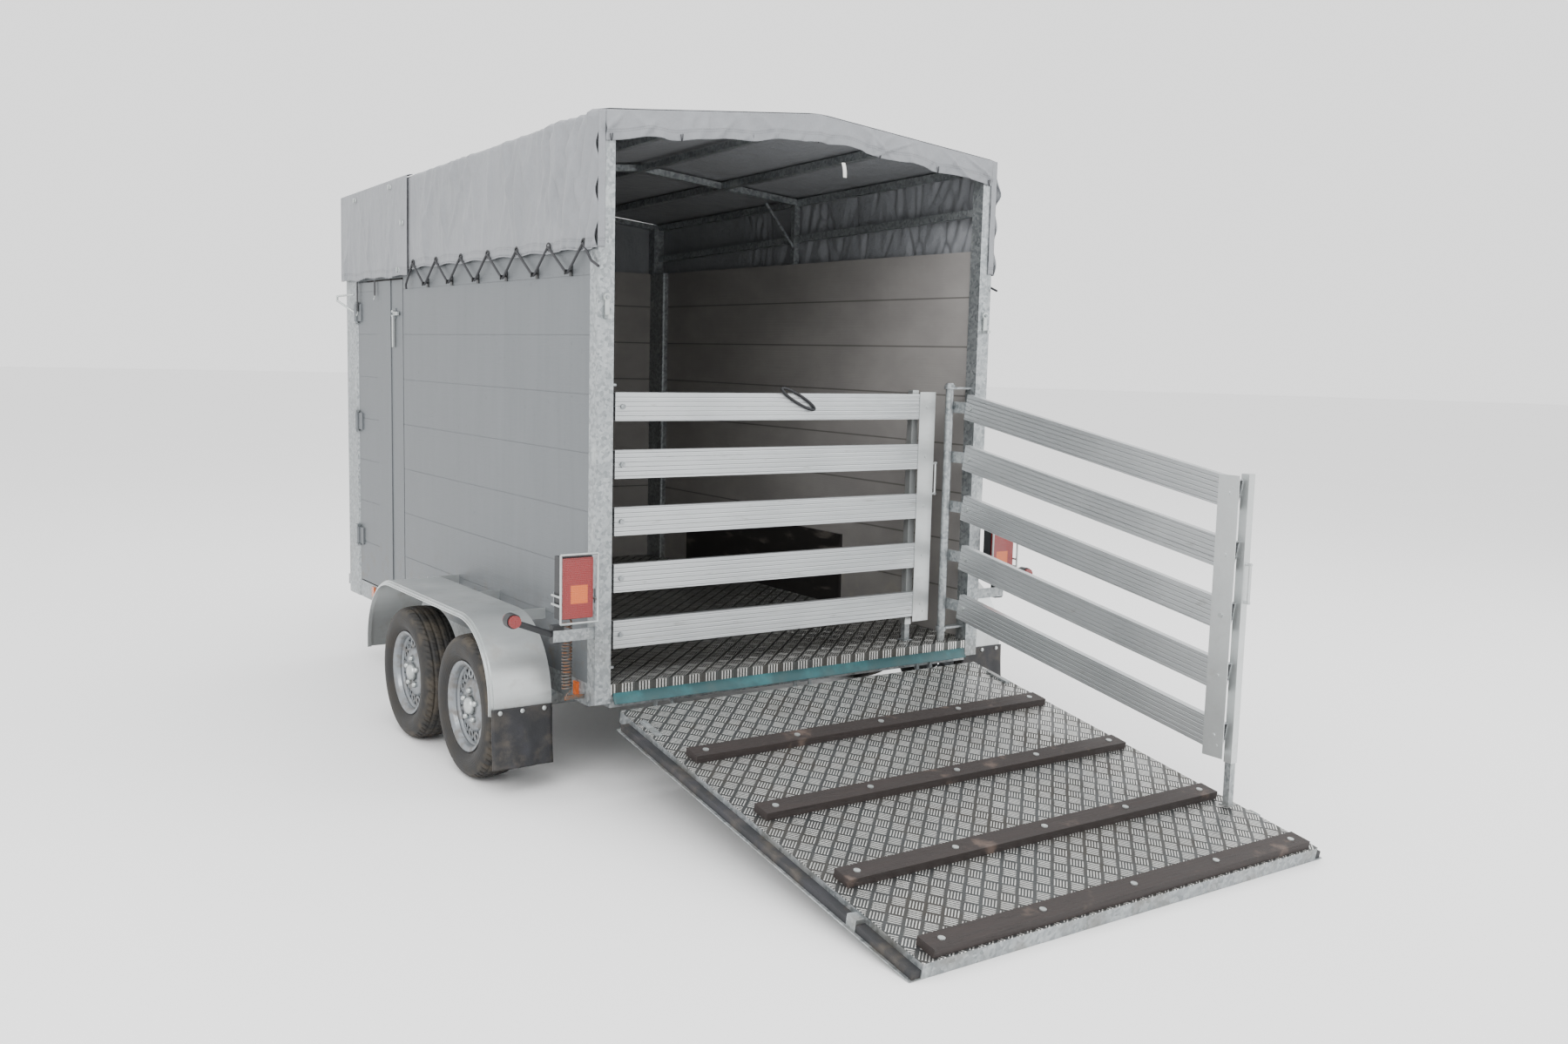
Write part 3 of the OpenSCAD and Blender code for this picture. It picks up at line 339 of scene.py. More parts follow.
def plastic(name, base, light, rough=0.42):
    """Moulded plastic: fine spark-eroded grain and faint fading."""
    f = Finish(name)
    fade, grain = f.noise(8, 4), f.noise(420, 2)
    return f.finish(f.mix(fade, shade(base), shade(light)), fade * 0.2 + rough, 0.0, f.bump(grain, 0.0004))


def lamp_lens():
    """Moulded lens over a prism grid: red with an orange middle on the rear lamps, orange on the walls."""
    f = Finish("red_lens")
    on_wall = (1 - abs(f.x).rise(0.8805, 0.8815)) * f.z.near(0.365, 0.04, 0.002)
    middle = f.z.near(0.735, 0.030, 0.002) * abs(f.x).near(0.958, 0.030, 0.002)
    amber = on_wall + middle - on_wall * middle
    prisms = (abs((f.x * 180).fract() - 0.5) + abs((f.z * 180).fract() - 0.5)
              + abs((f.y * 180).fract() - 0.5))
    colour = f.mix(amber, shade("#6b0507"), shade("#b4480a"))
    colour = f.mix(prisms * 0.3, colour, f.mix(amber, shade("#a01816"), shade("#d9741f")))
    return f.finish(colour, prisms * 0.1 + 0.10, 0.0, f.bump(prisms, 0.0012), Coat_Weight=0.6,
                    Coat_Roughness=0.05)


def stained_wood():
    """Dark brown hardwood: grain along the cleat, checks and worn pale edges."""
    f = Finish("cleat_wood")
    grain = f.noise(45, 5, (0.08, 1.2, 1.2), 0.65)
    pores = f.noise(160, 3, (0.06, 1.5, 1.5)).rise(0.55, 0.7)
    colour = f.mix(grain, shade("#15100f"), shade("#2b211e"))
    colour = f.mix(pores * 0.5, colour, shade("#1d1513"))
    wear = f.noise(10, 5).rise(0.58, 0.74)
    colour = f.mix(wear * 0.4, colour, shade("#7a675c"))
    return f.finish(colour, grain * 0.2 + 0.55, 0.0, f.bump(grain - pores * 0.6, 0.0018))


def board_face():
    """Dark coated board: faint wire pattern and pale scuffs from hooves."""
    f = Finish("coated_board")
    wires = ((f.y * 1400).sine() + (f.z * 1400).sine()) * 0.25 + 0.5
    scuff = f.noise(14, 6, (1, 0.35, 1.4)).rise(0.58, 0.70)
    colour = f.mix(f.noise(4, 4), shade("#1b1a1a"), shade("#2d2b2a"))
    colour = f.mix(scuff * 0.5, colour, shade("#77716a"))
    return f.finish(colour, scuff * 0.2 + 0.42, 0.0, f.bump(wires + scuff, 0.0006))


def painted(name, base, light):
    """Gloss paint: slight orange peel, chips down to primer."""
    f = Finish(name)
    chip = f.noise(60, 4).rise(0.66, 0.69)
    colour = f.mix(f.noise(7, 3), shade(base), shade(light))
    colour = f.mix(chip, colour, shade("#5b5f61"))
    return f.finish(colour, chip * 0.3 + 0.3, 0.0, f.bump(f.noise(90, 2) - chip, 0.0006), Coat_Weight=0.3)


def spring_wire():
    """Oil-hardened wire with brown surface rust in the coils."""
    f = Finish("spring_steel")
    rust = f.noise(60, 5).rise(0.4, 0.65)
    colour = f.mix(rust, shade("#5b5a57"), shade("#7a5136"))
    return f.finish(colour, rust * 0.4 + 0.35, 0.5, f.bump(f.noise(200, 3), 0.0006))


def tyre_rubber():
    """Tyre: dark sidewall with moulded rings, dusty tread and shoulders."""
    f = Finish("tyre_rubber")
    around = f.surface_map()[1]
    rings = abs((around * 46).fract() - 0.5)
    tread = around.near(0.40, 0.13, 0.05)
    dust = f.noise(16, 6).rise(0.38, 0.66)
    colour = f.mix(f.noise(6, 4), shade("#131313"), shade("#1f1e1d"))
    colour = f.mix(dust * (tread * 0.30 + 0.12), colour, shade("#5d5447"))
    return f.finish(colour, dust * 0.1 + 0.68, 0.0,
                    f.bump(rings * (1 - tread) + f.noise(180, 3) * 0.5, 0.0012))


def rim_paint():
    """Silver painted wheel with brake dust round the holes."""
    f = Finish("rim_paint")
    dust, grain = f.noise(28, 5).rise(0.42, 0.68), f.noise(260, 2)
    colour = f.mix(f.noise(9, 3), shade("#6f7478"), shade("#8d9195"))
    colour = f.mix(dust * 0.45, colour, shade("#6b6053"))
    return f.finish(colour, dust * 0.3 + 0.33, 0.6, f.bump(grain, 0.0004))


def cord_braid(name="shock_cord"):
    """Woven cord sleeve: fine diagonal plait."""
    f = Finish(name)
    turn, along = f.surface_map()
    plait = ((along * 1500 + turn * 12.566).sine() * (along * 1500 - turn * 12.566).sine()) * 0.5 + 0.5
    colour = f.mix(plait * 0.6 + f.noise(30, 3) * 0.3, shade("#101113"), shade("#3a3b40"))
    return f.finish(colour, plait * 0.2 + 0.55, 0.0, f.bump(plait, 0.0008))


zinc = galvanised()
planks = wall_planks()
rods = steel_rod()
black_rubber = rubber("black_rubber")
teal_rubber = rubber("teal_rubber", "#123f43", "#2f6b70", 0.5)
bright = bright_sheet("bright_aluminium", "#cfd2d2", "#9fa4a4", 0.27)
strip = bright_sheet("gate_strip", "#d3d6d6", "#b0b4b4", 0.30)
cloth = canvas_cloth()
cast = painted("cast_coupling", "#3c4145", "#565b60")
level_slat = grooved_slat("level_slats", 0.0)
drooped_slat = grooved_slat("drooped_slats", -math.tan(math.radians(9.8)))

for finish, names in (
    (zinc, "chassis_frame axles front_posts rear_posts roof_frame drawbar ramp_frame left_gate_tube "
           "right_gate_tube left_foot right_foot"),
    (planks, "side_wall_left side_wall_right front_wall side_door"),
    (checker_plate("floor_checker", "#575958", "#3a3c3b"), "floor_plate"),
    (checker_plate("ramp_checker", "#5b5d5d", "#37393a"), "ramp_deck"),
    (steel_rod("hook_rod"), "rod_fittings"),
    (rods, "door_latch jockey_leg ramp_latch_left ramp_latch_right cleat_bolts right_end_bolt "
           "right_bolt_1 right_bolt_2 right_bolt_3 right_bolt_4 right_bolt_5"),
    (black_rubber, "ramp_seals mud_flaps shock_cords jockey_wheel"),
    (bright, "mudguards"),
    (strip, "left_gate_end right_gate_end"),
    (level_slat, "left_slat_1 left_slat_2 left_slat_3 left_slat_4 left_slat_5"),
    (drooped_slat, "right_slat_1 right_slat_2 right_slat_3 right_slat_4 right_slat_5"),
    (cloth, "canvas"),
    (plastic("black_plastic", "#141517", "#26282b"), "lamp_bodies coupling_handle"),
    (lamp_lens(), "lamp_lenses"),
    (spring_wire(), "lift_springs"),
    (teal_rubber, "threshold_flap"),
    (board_face(), "kick_board"),
    (cast, "coupling_body"),
    (painted("red_paint", "#a11f1b", "#c2322a"), "handbrake_lever"),
    (stained_wood(), "ramp_cleats"),
    (rim_paint(), "wheel_rear_left wheel_front_left wheel_rear_right wheel_front_right"),
):
    for node in names.split():
        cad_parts[node].material_slots[0].material = finish


# ---------------------------------------------------------------- mesh making
def grid_quads(rows, columns, wrap_rows=False, wrap_columns=False):
    """Quads between neighbouring points of a rows by columns grid, closed round where asked."""
    i = np.arange(rows if wrap_rows else rows - 1)[:, None]
    j = np.arange(columns if wrap_columns else columns - 1)[None, :]
    i2, j2 = (i + 1) % rows, (j + 1) % columns
    corners = (i * columns + j, i2 * columns + j, i2 * columns + j2, i * columns + j2)
    return np.stack(np.broadcast_arrays(*corners), -1).reshape(-1, 4)


def piece(name, body, finish, shapes, closed=True):
    """One object from several (points, quads, across_along) surfaces, with poles merged and faces outward."""
    counts = np.cumsum([0] + [len(s[0]) for s in shapes])
    points = np.concatenate([s[0] for s in shapes])
    quads = np.concatenate([s[1] + c for s, c in zip(shapes, counts)])
    maps = np.concatenate([s[2] if len(s) > 2 else np.zeros((len(s[0]), 2)) for s in shapes])
    mesh = bpy.data.meshes.new(name)
    mesh.from_pydata(points.tolist(), [], quads.tolist())
    layer = mesh.uv_layers.new(name="across_along")
    corner = np.empty(len(mesh.loops), np.int32)
    mesh.loops.foreach_get("vertex_index", corner)
    layer.data.foreach_set("uv", maps[corner].astype(np.float32).ravel())
    if closed:
        work = bmesh.new()
        work.from_mesh(mesh)
        bmesh.ops.remove_doubles(work, verts=work.verts, dist=2e-6)
        bmesh.ops.recalc_face_normals(work, faces=work.faces)
        work.to_mesh(mesh)
        work.free()
    mesh.polygons.foreach_set("use_smooth", np.ones(len(mesh.polygons), bool))
    mesh.materials.append(finish)
    made = bpy.data.objects.new(name, mesh)
    bpy.context.scene.collection.objects.link(made)
    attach(made, body)
    return made


def smoothed(path, times=4):
    """Each inner point moved to a quarter, half, quarter average of its neighbours."""
    path = path.copy()
    for _ in range(times):
        path[1:-1] = 0.25 * path[:-2] + 0.5 * path[1:-1] + 0.25 * path[2:]
    return path


def resampled(points, step):
    """Points at even steps along a broken line."""
    points = np.asarray(points, float)
    run = np.concatenate([[0], np.cumsum(np.linalg.norm(np.diff(points, axis=0), axis=1))])
    at = np.linspace(0, run[-1], max(3, int(run[-1] / step) + 1))
    return np.stack([np.interp(at, run, points[:, k]) for k in range(3)], 1)


def tube(path, radius, square_to=(1, 0, 0), sides=10, loop=False):
    """Round section carried along a path; the ends close to a point, or the path meets itself."""
    path = np.asarray(path, float)
    along = np.roll(path, -1, 0) - np.roll(path, 1, 0) if loop else np.gradient(path, axis=0)
    along /= np.linalg.norm(along, axis=1)[:, None]
    first = np.cross(along, square_to)
    first /= np.linalg.norm(first, axis=1)[:, None]
    second = np.cross(along, first)
    turn = np.linspace(0, 2 * np.pi, sides, endpoint=False)
    size = np.full(len(path), radius, float)
    run = np.concatenate([[0], np.cumsum(np.linalg.norm(np.diff(path, axis=0), axis=1))])
    if not loop:
        keep = [0] + list(range(len(path))) + [len(path) - 1]
        path, first, second, size, run = path[keep], first[keep], second[keep], size[keep], run[keep]
        size[[0, -1]] = 0
    ring = np.cos(turn)[None, :, None] * first[:, None] + np.sin(turn)[None, :, None] * second[:, None]
    points = path[:, None] + size[:, None, None] * ring
    maps = np.stack(np.broadcast_arrays(turn[None, :] / 6.2832, run[:, None]), -1)
    return points.reshape(-1, 3), grid_quads(len(path), sides, loop, True), maps.reshape(-1, 2)


def spun(profile, centre, side, steps=96, closed=False):
    """A profile of (radius, distance along the axle) turned about a crosswise axle."""
    profile = np.asarray(profile, float)
    turn = np.linspace(0, 2 * np.pi, steps, endpoint=False)
    r, a = profile[:, 0], profile[:, 1]
    points = np.stack(np.broadcast_arrays(
        centre[0] + side * a[None, :],
        centre[1] + np.cos(turn)[:, None] * r[None, :],
        centre[2] + np.sin(turn)[:, None] * r[None, :]), -1)
    maps = np.stack(np.broadcast_arrays(turn[:, None] / 6.2832, np.linspace(0, 1, len(r))[None, :]), -1)
    return points.reshape(-1, 3), grid_quads(steps, len(r), True, closed), maps.reshape(-1, 2)


def studs(places, axis, radius, height, sides=10):
    """A low dome at each place, standing along an axis, with its foot closed."""
    axis = np.asarray(axis, float)
    other = np.cross(axis, (0.0, 0.6, 0.8) if abs(axis[0]) > 0.5 else (1.0, 0, 0))
    other /= np.linalg.norm(other)
    third = np.cross(axis, other)
    r = np.array([0, 1, 1, 0.86, 0.5, 0]) * radius
    h = np.array([0, 0, 0.35, 0.75, 0.95, 1]) * height
    turn = np.linspace(0, 2 * np.pi, sides, endpoint=False)
    ring = np.cos(turn)[:, None, None] * other + np.sin(turn)[:, None, None] * third
    dome = (ring * r[None, :, None] + h[None, :, None] * axis).reshape(-1, 3)
    places = np.asarray(places, float).reshape(-1, 3)
    points = (places[:, None] + dome[None]).reshape(-1, 3)
    quads = grid_quads(sides, len(r), True)
    return points, (quads[None] + (np.arange(len(places)) * len(dome))[:, None, None]).reshape(-1, 4)


def slab(low, high, round_by=0.002, steps=5):
    """A block with rounded edges: a box grid pushed onto a rounded box."""
    low, high = np.asarray(low, float), np.asarray(high, float)
    middle, half = (low + high) / 2, (high - low) / 2
    shapes = []
    s = np.linspace(-1, 1, 2 * steps + 1)
    s = np.sign(s) * (1 - (1 - abs(s)) ** 2)
    a, b = np.meshgrid(s, s, indexing="ij")
    for k in range(3):
        for sign in (-1, 1):
            unit = np.empty(a.shape + (3,))
            unit[..., k], unit[..., (k + 1) % 3], unit[..., (k + 2) % 3] = sign, a, b
            spot = unit * half
            core = np.clip(spot, -(half - round_by), half - round_by)
            out = spot - core
            out /= np.maximum(np.linalg.norm(out, axis=-1), 1e-9)[..., None]
            shapes.append((core + out * round_by).reshape(-1, 3) + middle)
    quads = grid_quads(len(s), len(s))
    per = len(s) ** 2
    return np.concatenate(shapes), np.concatenate([quads + i * per for i in range(6)])


# ---------------------------------------------------------------- canvas
def roof_line(x, forward, grow=0.006):
    """Height of the roof skin: eaves falling forward, rising evenly to the ridge."""
    return EAVE + grow - forward * FALL / BODY + RISE * (1 - np.minimum(abs(x), POST) / POST)


def ripples(a, b, size, seed, count=7, low=3.0, high=17.0):
    """Sum of a few slanting sine waves with fixed random slants and phases."""
    pick = np.random.default_rng(seed)
    total = np.zeros(np.broadcast(a, b).shape)
    for _ in range(count):
        f, slant, phase = pick.uniform(low, high), pick.uniform(-0.8, 0.8), pick.uniform(0, 6.3)
        total += np.sin(f * (a + slant * b) * 2 + phase) / (1 + 0.12 * f)
    return size * total / count


def creases(a, b, area, count, seed, size, long=(0.06, 0.20), wide=(0.011, 0.022), lean=0.35):
    """Sum of short soft ridges at fixed random places: each is a bell across a and a longer bell along b,
    leaning a little."""
    pick = np.random.default_rng(seed)
    total = 0
    for _ in range(count):
        v = b - pick.uniform(area[2], area[3])
        u = a - pick.uniform(area[0], area[1]) - pick.normal(0, lean) * v
        bell = np.exp(-(u / pick.uniform(*wide)) ** 2 - (v / pick.uniform(*long)) ** 2)
        total = total + size * pick.uniform(0.35, 1.0) * bell
    return total


def cloth_piece(name, shapes, thick=0.0018):
    """A thin sheet, given its thickness by Solidify."""
    made = piece(name, "chassis", cloth, shapes, closed=False)
    thicken = made.modifiers.new("thickness", "SOLIDIFY")
    thicken.thickness, thicken.offset = thick, 0
    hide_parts("canvas")
    return made


def surface_area(points, rows, columns):
    """Area of a grid of points, from the two edges at one corner of each quad."""
    p = points.reshape(rows, columns, 3)
    u, v = p[1:, :-1] - p[:-1, :-1], p[:-1, 1:] - p[:-1, :-1]
    return float(np.linalg.norm(np.cross(u, v), axis=-1).sum())


def canvas_skin():
    """Roof and sides in one sheet. The section runs hem, eave, ridge, eave, hem; the height along it falls
    forward. Between eyelets the hem lifts and stands out; over the roof it sags between bars."""
    forward = np.linspace(-0.0045, BODY + 0.0045, 400)[:, None]
    side_n, roof_n = 34, 22
    t = np.concatenate([np.linspace(0, 1, side_n), 1 + np.linspace(0, 1, roof_n)[1:],
                        2 + np.linspace(0, 1, roof_n)[1:], 3 + np.linspace(0, 1, side_n)[1:]])[None, :]
    x = (POST + 0.006) * (np.interp(t, [0, 1, 2, 3, 4], [-1, -1, 0, 1, 1]))
    pull = (1 - np.cos(2 * np.pi * (forward - EYELETS[0]) / EYELET_PITCH)) / 2 * (forward < FLAP_FROM)
    pull = np.maximum(pull, (forward >= FLAP_FROM) * 0.2)
    hem = HEM + 0.008 * pull
    on_side = (t <= 1) | (t >= 3)
    up = np.where(t <= 1, t, 4 - t)
    eave = roof_line(POST, forward)
    z = np.where(on_side, hem + (eave - hem) * up, roof_line(x, forward))
    height = np.where(on_side, z - HEM, 0)
    stand = 0.005 * pull * np.exp(-height / 0.11)
    for eyelet in EYELETS:
        for slant in (-0.75, -0.3, 0.3, 0.75):
            off = (forward - eyelet) - slant * (height - 0.02)
            stand = stand + 0.0016 * np.exp(-(off / 0.010) ** 2) * np.exp(-height / 0.13)
        stand = stand - 0.0042 * np.exp(-((forward - eyelet) ** 2 + (height - 0.023) ** 2) / 0.026 ** 2)
    corner = np.exp(-forward / 0.22)
    stand = stand + 0.0105 * corner * np.sin(2 * np.pi * (forward + 0.42 * height) / 0.062)
    stand = stand + ripples(forward, height, 0.0045, 5)
    for seed, turned in ((3, x < 0), (4, x > 0)):
        folds = creases(forward, height, (0, 1.85, 0.08, 0.42), 46, seed, 0.0150)
        folds = folds + creases(forward, height, (0.04, 0.38, 0.1, 0.42), 16, seed + 20, 0.0190, (0.10, 0.26))
        stand = stand + folds * turned * np.clip(height / 0.07, 0.15, 1)
    q = 1 - abs(x) / (POST + 0.006)
    bay = np.zeros_like(forward)
    for a, b in zip(BOWS[:-1], BOWS[1:]):
        inside = (forward > a) & (forward < b)
        bay = bay + inside * np.sin(np.pi * np.clip((forward - a) / (b - a), 0, 1)) ** 0.7
    sag = -0.011 * bay * np.sin(2 * np.pi * q) ** 2 + ripples(forward, x, 0.0022, 9) * (0.3 + 0.7 * bay)
    sag = sag + 0.0016 * np.sin(forward * 46 + x * 5) * np.exp(-((abs(x) - POST) / 0.12) ** 2)
    out = np.where(on_side, np.clip(stand, -0.004, 0.030), 0)
    x = np.broadcast_to(x, z.shape) + np.sign(x) * out
    z = z + np.where(on_side, 0, np.clip(sag, -0.012, 0.006))
    points = np.stack([x, np.broadcast_to(forward, z.shape) + REAR, z], -1)
    points[:, 1:-1] = 0.25 * points[:, :-2] + 0.5 * points[:, 1:-1] + 0.25 * points[:, 2:]
    from_hem = np.where(on_side, z - hem, 0.4)
    maps = np.stack(np.broadcast_arrays(from_hem, forward), -1)
    rows, columns = z.shape
    flat = points.reshape(-1, 3)
    area = surface_area(flat, rows, columns)
    quads = grid_quads(rows, columns)[:, ::-1]
    cloth_piece("canvas_skin", [(flat, quads, maps.reshape(-1, 2))])
    edges = [tube(smoothed(points[:, k], 2), 0.0028, (1, 0, 0), 8) for k in (0, -1)]
    piece("canvas_hem_rope", "chassis", cloth, edges)


def canvas_ends():
    """Front sheet from the roof to the hem, and the scalloped rear valance with its side strips."""
    u, v = np.meshgrid(np.linspace(-1, 1, 180), np.linspace(0, 1, 50), indexing="ij")
    x = u * (POST + 0.004)
    top = roof_line(x, BODY + 0.006, 0.004)
    z = HEM + 0.004 + (top - HEM - 0.004) * v
    y = REAR + BODY + 0.0065 + ripples(x, z, 0.004, 21) * np.sin(np.pi * v) ** 0.5
    front = np.stack([x, y, z], -1).reshape(-1, 3)
    maps = np.stack([z - HEM, x], -1).reshape(-1, 2)
    area = surface_area(front, 180, 50)
    cloth_piece("canvas_front", [(front, grid_quads(180, 50)[:, ::-1], maps)])
    u, v = np.meshgrid(np.linspace(-1, 1, 300), np.linspace(0, 1, 24), indexing="ij")
    x = u * VALANCE_X
    bulge = (1 - np.cos(2 * np.pi * (x + VALANCE_X) / TIE_PITCH)) / 2
    depth = VALANCE + 0.004 - 0.009 * bulge + 0.0035 * np.sin(x * 27 + 1) * np.sin(x * 11)
    z = roof_line(x, -0.005, 0.003) - depth * v
    y = REAR - 0.0045 - 0.008 * bulge * v ** 1.5 - 0.0012 * np.sin(x * 60 + v * 4) * v
    puckers = creases(x, v * 0.1, (-0.85, 0.85, 0, 0.1), 40, 8, 0.0150, (0.03, 0.07), (0.012, 0.024), 0.9)
    y = y - puckers * v ** 0.5
    rear = np.stack([x, y, z], -1).reshape(-1, 3)
    maps = np.stack([depth * (1 - v), x], -1).reshape(-1, 2)
    area = surface_area(rear, 300, 24)
    cloth_piece("canvas_valance", [(rear, grid_quads(300, 24), maps)])
    shapes, area = [], 0
    for side in (-1, 1):
        u, v = np.meshgrid(np.linspace(0, 1, 8), np.linspace(0, 1, 60), indexing="ij")
        x = side * (VALANCE_X + 0.027 * u)
        z = HEM + 0.006 + (roof_line(x, -0.005, 0.003) - HEM - 0.006) * v
        y = REAR - 0.0040 - 0.0012 * np.sin(z * 33) * (1 - u)
        flat = np.stack([x, y, z], -1).reshape(-1, 3)
        area += surface_area(flat, 8, 60)
        quads = grid_quads(8, 60) if side < 0 else grid_quads(8, 60)[:, ::-1]
        shapes.append((flat, quads[:, ::-1], np.stack([z - HEM, x], -1).reshape(-1, 2)))
    cloth_piece("canvas_rear_edges", shapes)


def door_flap():
    """Separate sheet over the side door: pleats deepen towards the lower edge, the top laps over the eave."""
    u, v = np.meshgrid(np.linspace(0, 1, 260), np.linspace(0, 1.06, 70), indexing="ij")
    forward = FLAP_FROM + (FLAP_TO - FLAP_FROM) * u
    eave = roof_line(POST, forward)
    low = 1.853 + 0.006 * np.sin(u * 19) * np.sin(u * 7)
    w = np.minimum(v, 1)
    lap = np.maximum(v - 1, 0) / 0.06
    z = low + (eave + 0.002 - low) * w + 0.004 * np.sin(lap * np.pi / 2)
    pleat = 0.0034 * (1 + np.sin(forward * 44 + 1.4 * np.sin(forward * 13))) / 2 * (1 - w) ** 0.7
    fold = 0.0035 * np.exp(-((forward - 2.30 - 0.45 * (z - 1.87)) / 0.016) ** 2) * (1 - w * 0.4)
    fold = fold + 0.0028 * np.exp(-((forward - 2.06 + 0.30 * (z - 1.87)) / 0.014) ** 2) * (1 - w * 0.5)
    fold = fold + creases(forward, z, (1.82, 2.72, 1.86, 2.2), 24, 12, 0.0060) * np.minimum(1, 1.15 - w)
    x = -(0.8905 + pleat + fold + ripples(forward, z, 0.002, 33)) + 0.028 * lap
    points = np.stack([x, forward + REAR, z], -1).reshape(-1, 3)
    maps = np.stack([z - low, forward], -1).reshape(-1, 2)
    area = surface_area(points, 260, 70)
    cloth_piece("canvas_door_flap", [(points, grid_quads(260, 70)[:, ::-1], maps)])
    buttons = ((1.855, 2.081), (1.905, 1.880), (2.507, 2.225), (2.01, 2.245))
    places = [(-0.8925, REAR + forward, z) for forward, z in buttons]
    discs = studs(places, (-1, 0, 0), 0.012, 0.005, 16)
    bars = [slab((x - 0.013, y - 0.004, z - 0.011), (x - 0.004, y + 0.004, z + 0.011)) for x, y, z in places]
    piece("turn_buttons", "chassis", rods, [discs] + bars)


def valance_ties():
    """Short cords that hold the valance to the roof tube, and one loose strap tail."""
    cords = []
    for k in range(7):
        x = min(max(-VALANCE_X + TIE_PITCH * k, -0.835), 0.835)
        top = roof_line(x, 0, 0.003)
        path = np.array([(x - 0.004, REAR - 0.0085, top - 0.078), (x - 0.003, REAR - 0.0095, top - 0.092),
                         (x, REAR - 0.0090, top - 0.103), (x + 0.003, REAR - 0.0095, top - 0.092),
                         (x + 0.004, REAR - 0.0085, top - 0.076)])
        cords.append(tube(smoothed(resampled(path, 0.003), 3), 0.0016, (0, 1, 0.01), 8))
    piece("valance_ties", "chassis", cord_braid("tie_cord"), cords)
    s = np.linspace(0, 1, 24)[:, None]
    t = np.linspace(-1, 1, 7)[None, :]
    x = 0.110 + 0.008 * t + 0.010 * s ** 2
    z = 2.250 - 0.052 * s
    y = REAR - 0.0155 - 0.006 * np.sin(s * 3.4) + 0.0008 * t ** 2
    points = np.stack(np.broadcast_arrays(x, y, z), -1).reshape(-1, 3)
    f = plastic("strap_webbing", "#c9c9c4", "#e3e3de", 0.6)
    tail = piece("strap_tail", "chassis", f, [(points, grid_quads(24, 7), np.zeros((168, 2)))], closed=False)
    thicken = tail.modifiers.new("thickness", "SOLIDIFY")
    thicken.thickness, thicken.offset = 0.0014, 0


canvas_skin()
canvas_ends()
door_flap()
valance_ties()


# ---------------------------------------------------------------- cords and straps
def shock_cord():
    """Zigzag of elastic cord through the eyelets and under the hooks, with both ends led back."""
    x = POST + 0.0115
    route = [(x, -0.024, 1.822), (x, 0.030, 1.842)]
    for k, eyelet in enumerate(EYELETS):
        route.append((x, eyelet, EYELET_Z))
        if k < len(HOOKS):
            route += [(x + 0.001, HOOKS[k] + d, 1.815 - h)
                      for d, h in ((-0.007, 0.0072), (0, 0.0088), (0.007, 0.0072))]
    route += [(x, 1.836, 1.812), (x, 1.828, 1.796)]
    shapes = []
    for side in (-1, 1):
        path = resampled(np.array(route) * (side, 1, 1) + (0, REAR, 0), 0.004)
        shapes.append(tube(smoothed(path, 3), 0.0046, (1, 0, 0), 10))
    turn = np.linspace(0, 2 * np.pi, 28, endpoint=False)
    rings = [tube(np.stack([np.full(28, side * 0.8838), REAR + e + 0.0125 * np.cos(turn),
                            EYELET_Z + 0.0125 * np.sin(turn)], 1), 0.0036, (1, 0, 0), 8, True)
             for side in (-1, 1) for e in EYELETS]
    piece("eyelet_rings", "chassis", plastic("eyelet_black", "#0e0f10", "#222326"), rings)
    made = piece("shock_cord_zigzag", "chassis", cord_braid(), shapes)
    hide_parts("shock_cords")


def door_straps():
    """Two flat elastic straps with wire hooks that hold the flap down onto the door."""
    straps, hooks = [], []
    for forward, low in ((2.529, 1.705), (2.270, 1.775)):
        y = REAR + forward
        straps.append(slab((-0.8845, y - 0.009, low), (-0.8815, y + 0.009, 1.846), 0.0012))
        path = np.array([(-0.883, 0, 0.006), (-0.883, 0, -0.012), (-0.8875, 0, -0.022), (-0.8875, 0, -0.010)])
        hooks.append(tube(smoothed(resampled(path + (0, y, low), 0.002), 3), 0.0018, (0, 1, 0), 8))
    piece("door_straps", "side_door", black_rubber, straps)
    piece("door_strap_hooks", "side_door", rods, hooks)


def slat_loop():
    """Long rubber loop laid over the upper edge of the left gate's top slat."""
    turn = np.linspace(0, 2 * np.pi, 72, endpoint=False)
    a, b = 0.084 * np.cos(turn), 0.015 * np.sin(turn)
    tilt = math.radians(-27)
    path = np.stack([a * math.cos(tilt) - b * math.sin(tilt), np.full(72, REAR + 0.0765),
                     1.384 + a * math.sin(tilt) + b * math.cos(tilt)], 1)
    piece("slat_loop", "left_slat_5", black_rubber, [tube(path, 0.0055, (0, 1, 0), 10, True)])


shock_cord()
door_straps()
slat_loop()


# ---------------------------------------------------------------- wheels
def tyre_section():
    """Closed section of (radius, distance along the axle): beads, bulged walls and a plain crown."""
    half = np.array([(0.1535, 0.052), (0.158, 0.0545), (0.166, 0.0555), (0.174, 0.063), (0.186, 0.0725),
                     (0.200, 0.0775), (0.214, 0.0782), (0.226, 0.0765), (0.238, 0.0720), (0.248, 0.0655),
                     (0.2548, 0.056), (0.2585, 0.044), (0.2603, 0.024), (0.2608, 0.0)])
    outer = np.concatenate([half, half[::-1][1:] * (1, -1)])
    run = np.concatenate([[0], np.cumsum(np.linalg.norm(np.diff(outer, axis=0), axis=1))])
    at = np.linspace(0, run[-1], 104)
    section = np.stack([np.interp(at, run, outer[:, k]) for k in (0, 1)], 1)
    section = smoothed(section, 3)
    closing = np.stack([np.full(5, 0.1532), np.linspace(-0.045, 0.045, 5)], 1)
    return np.concatenate([section, closing])


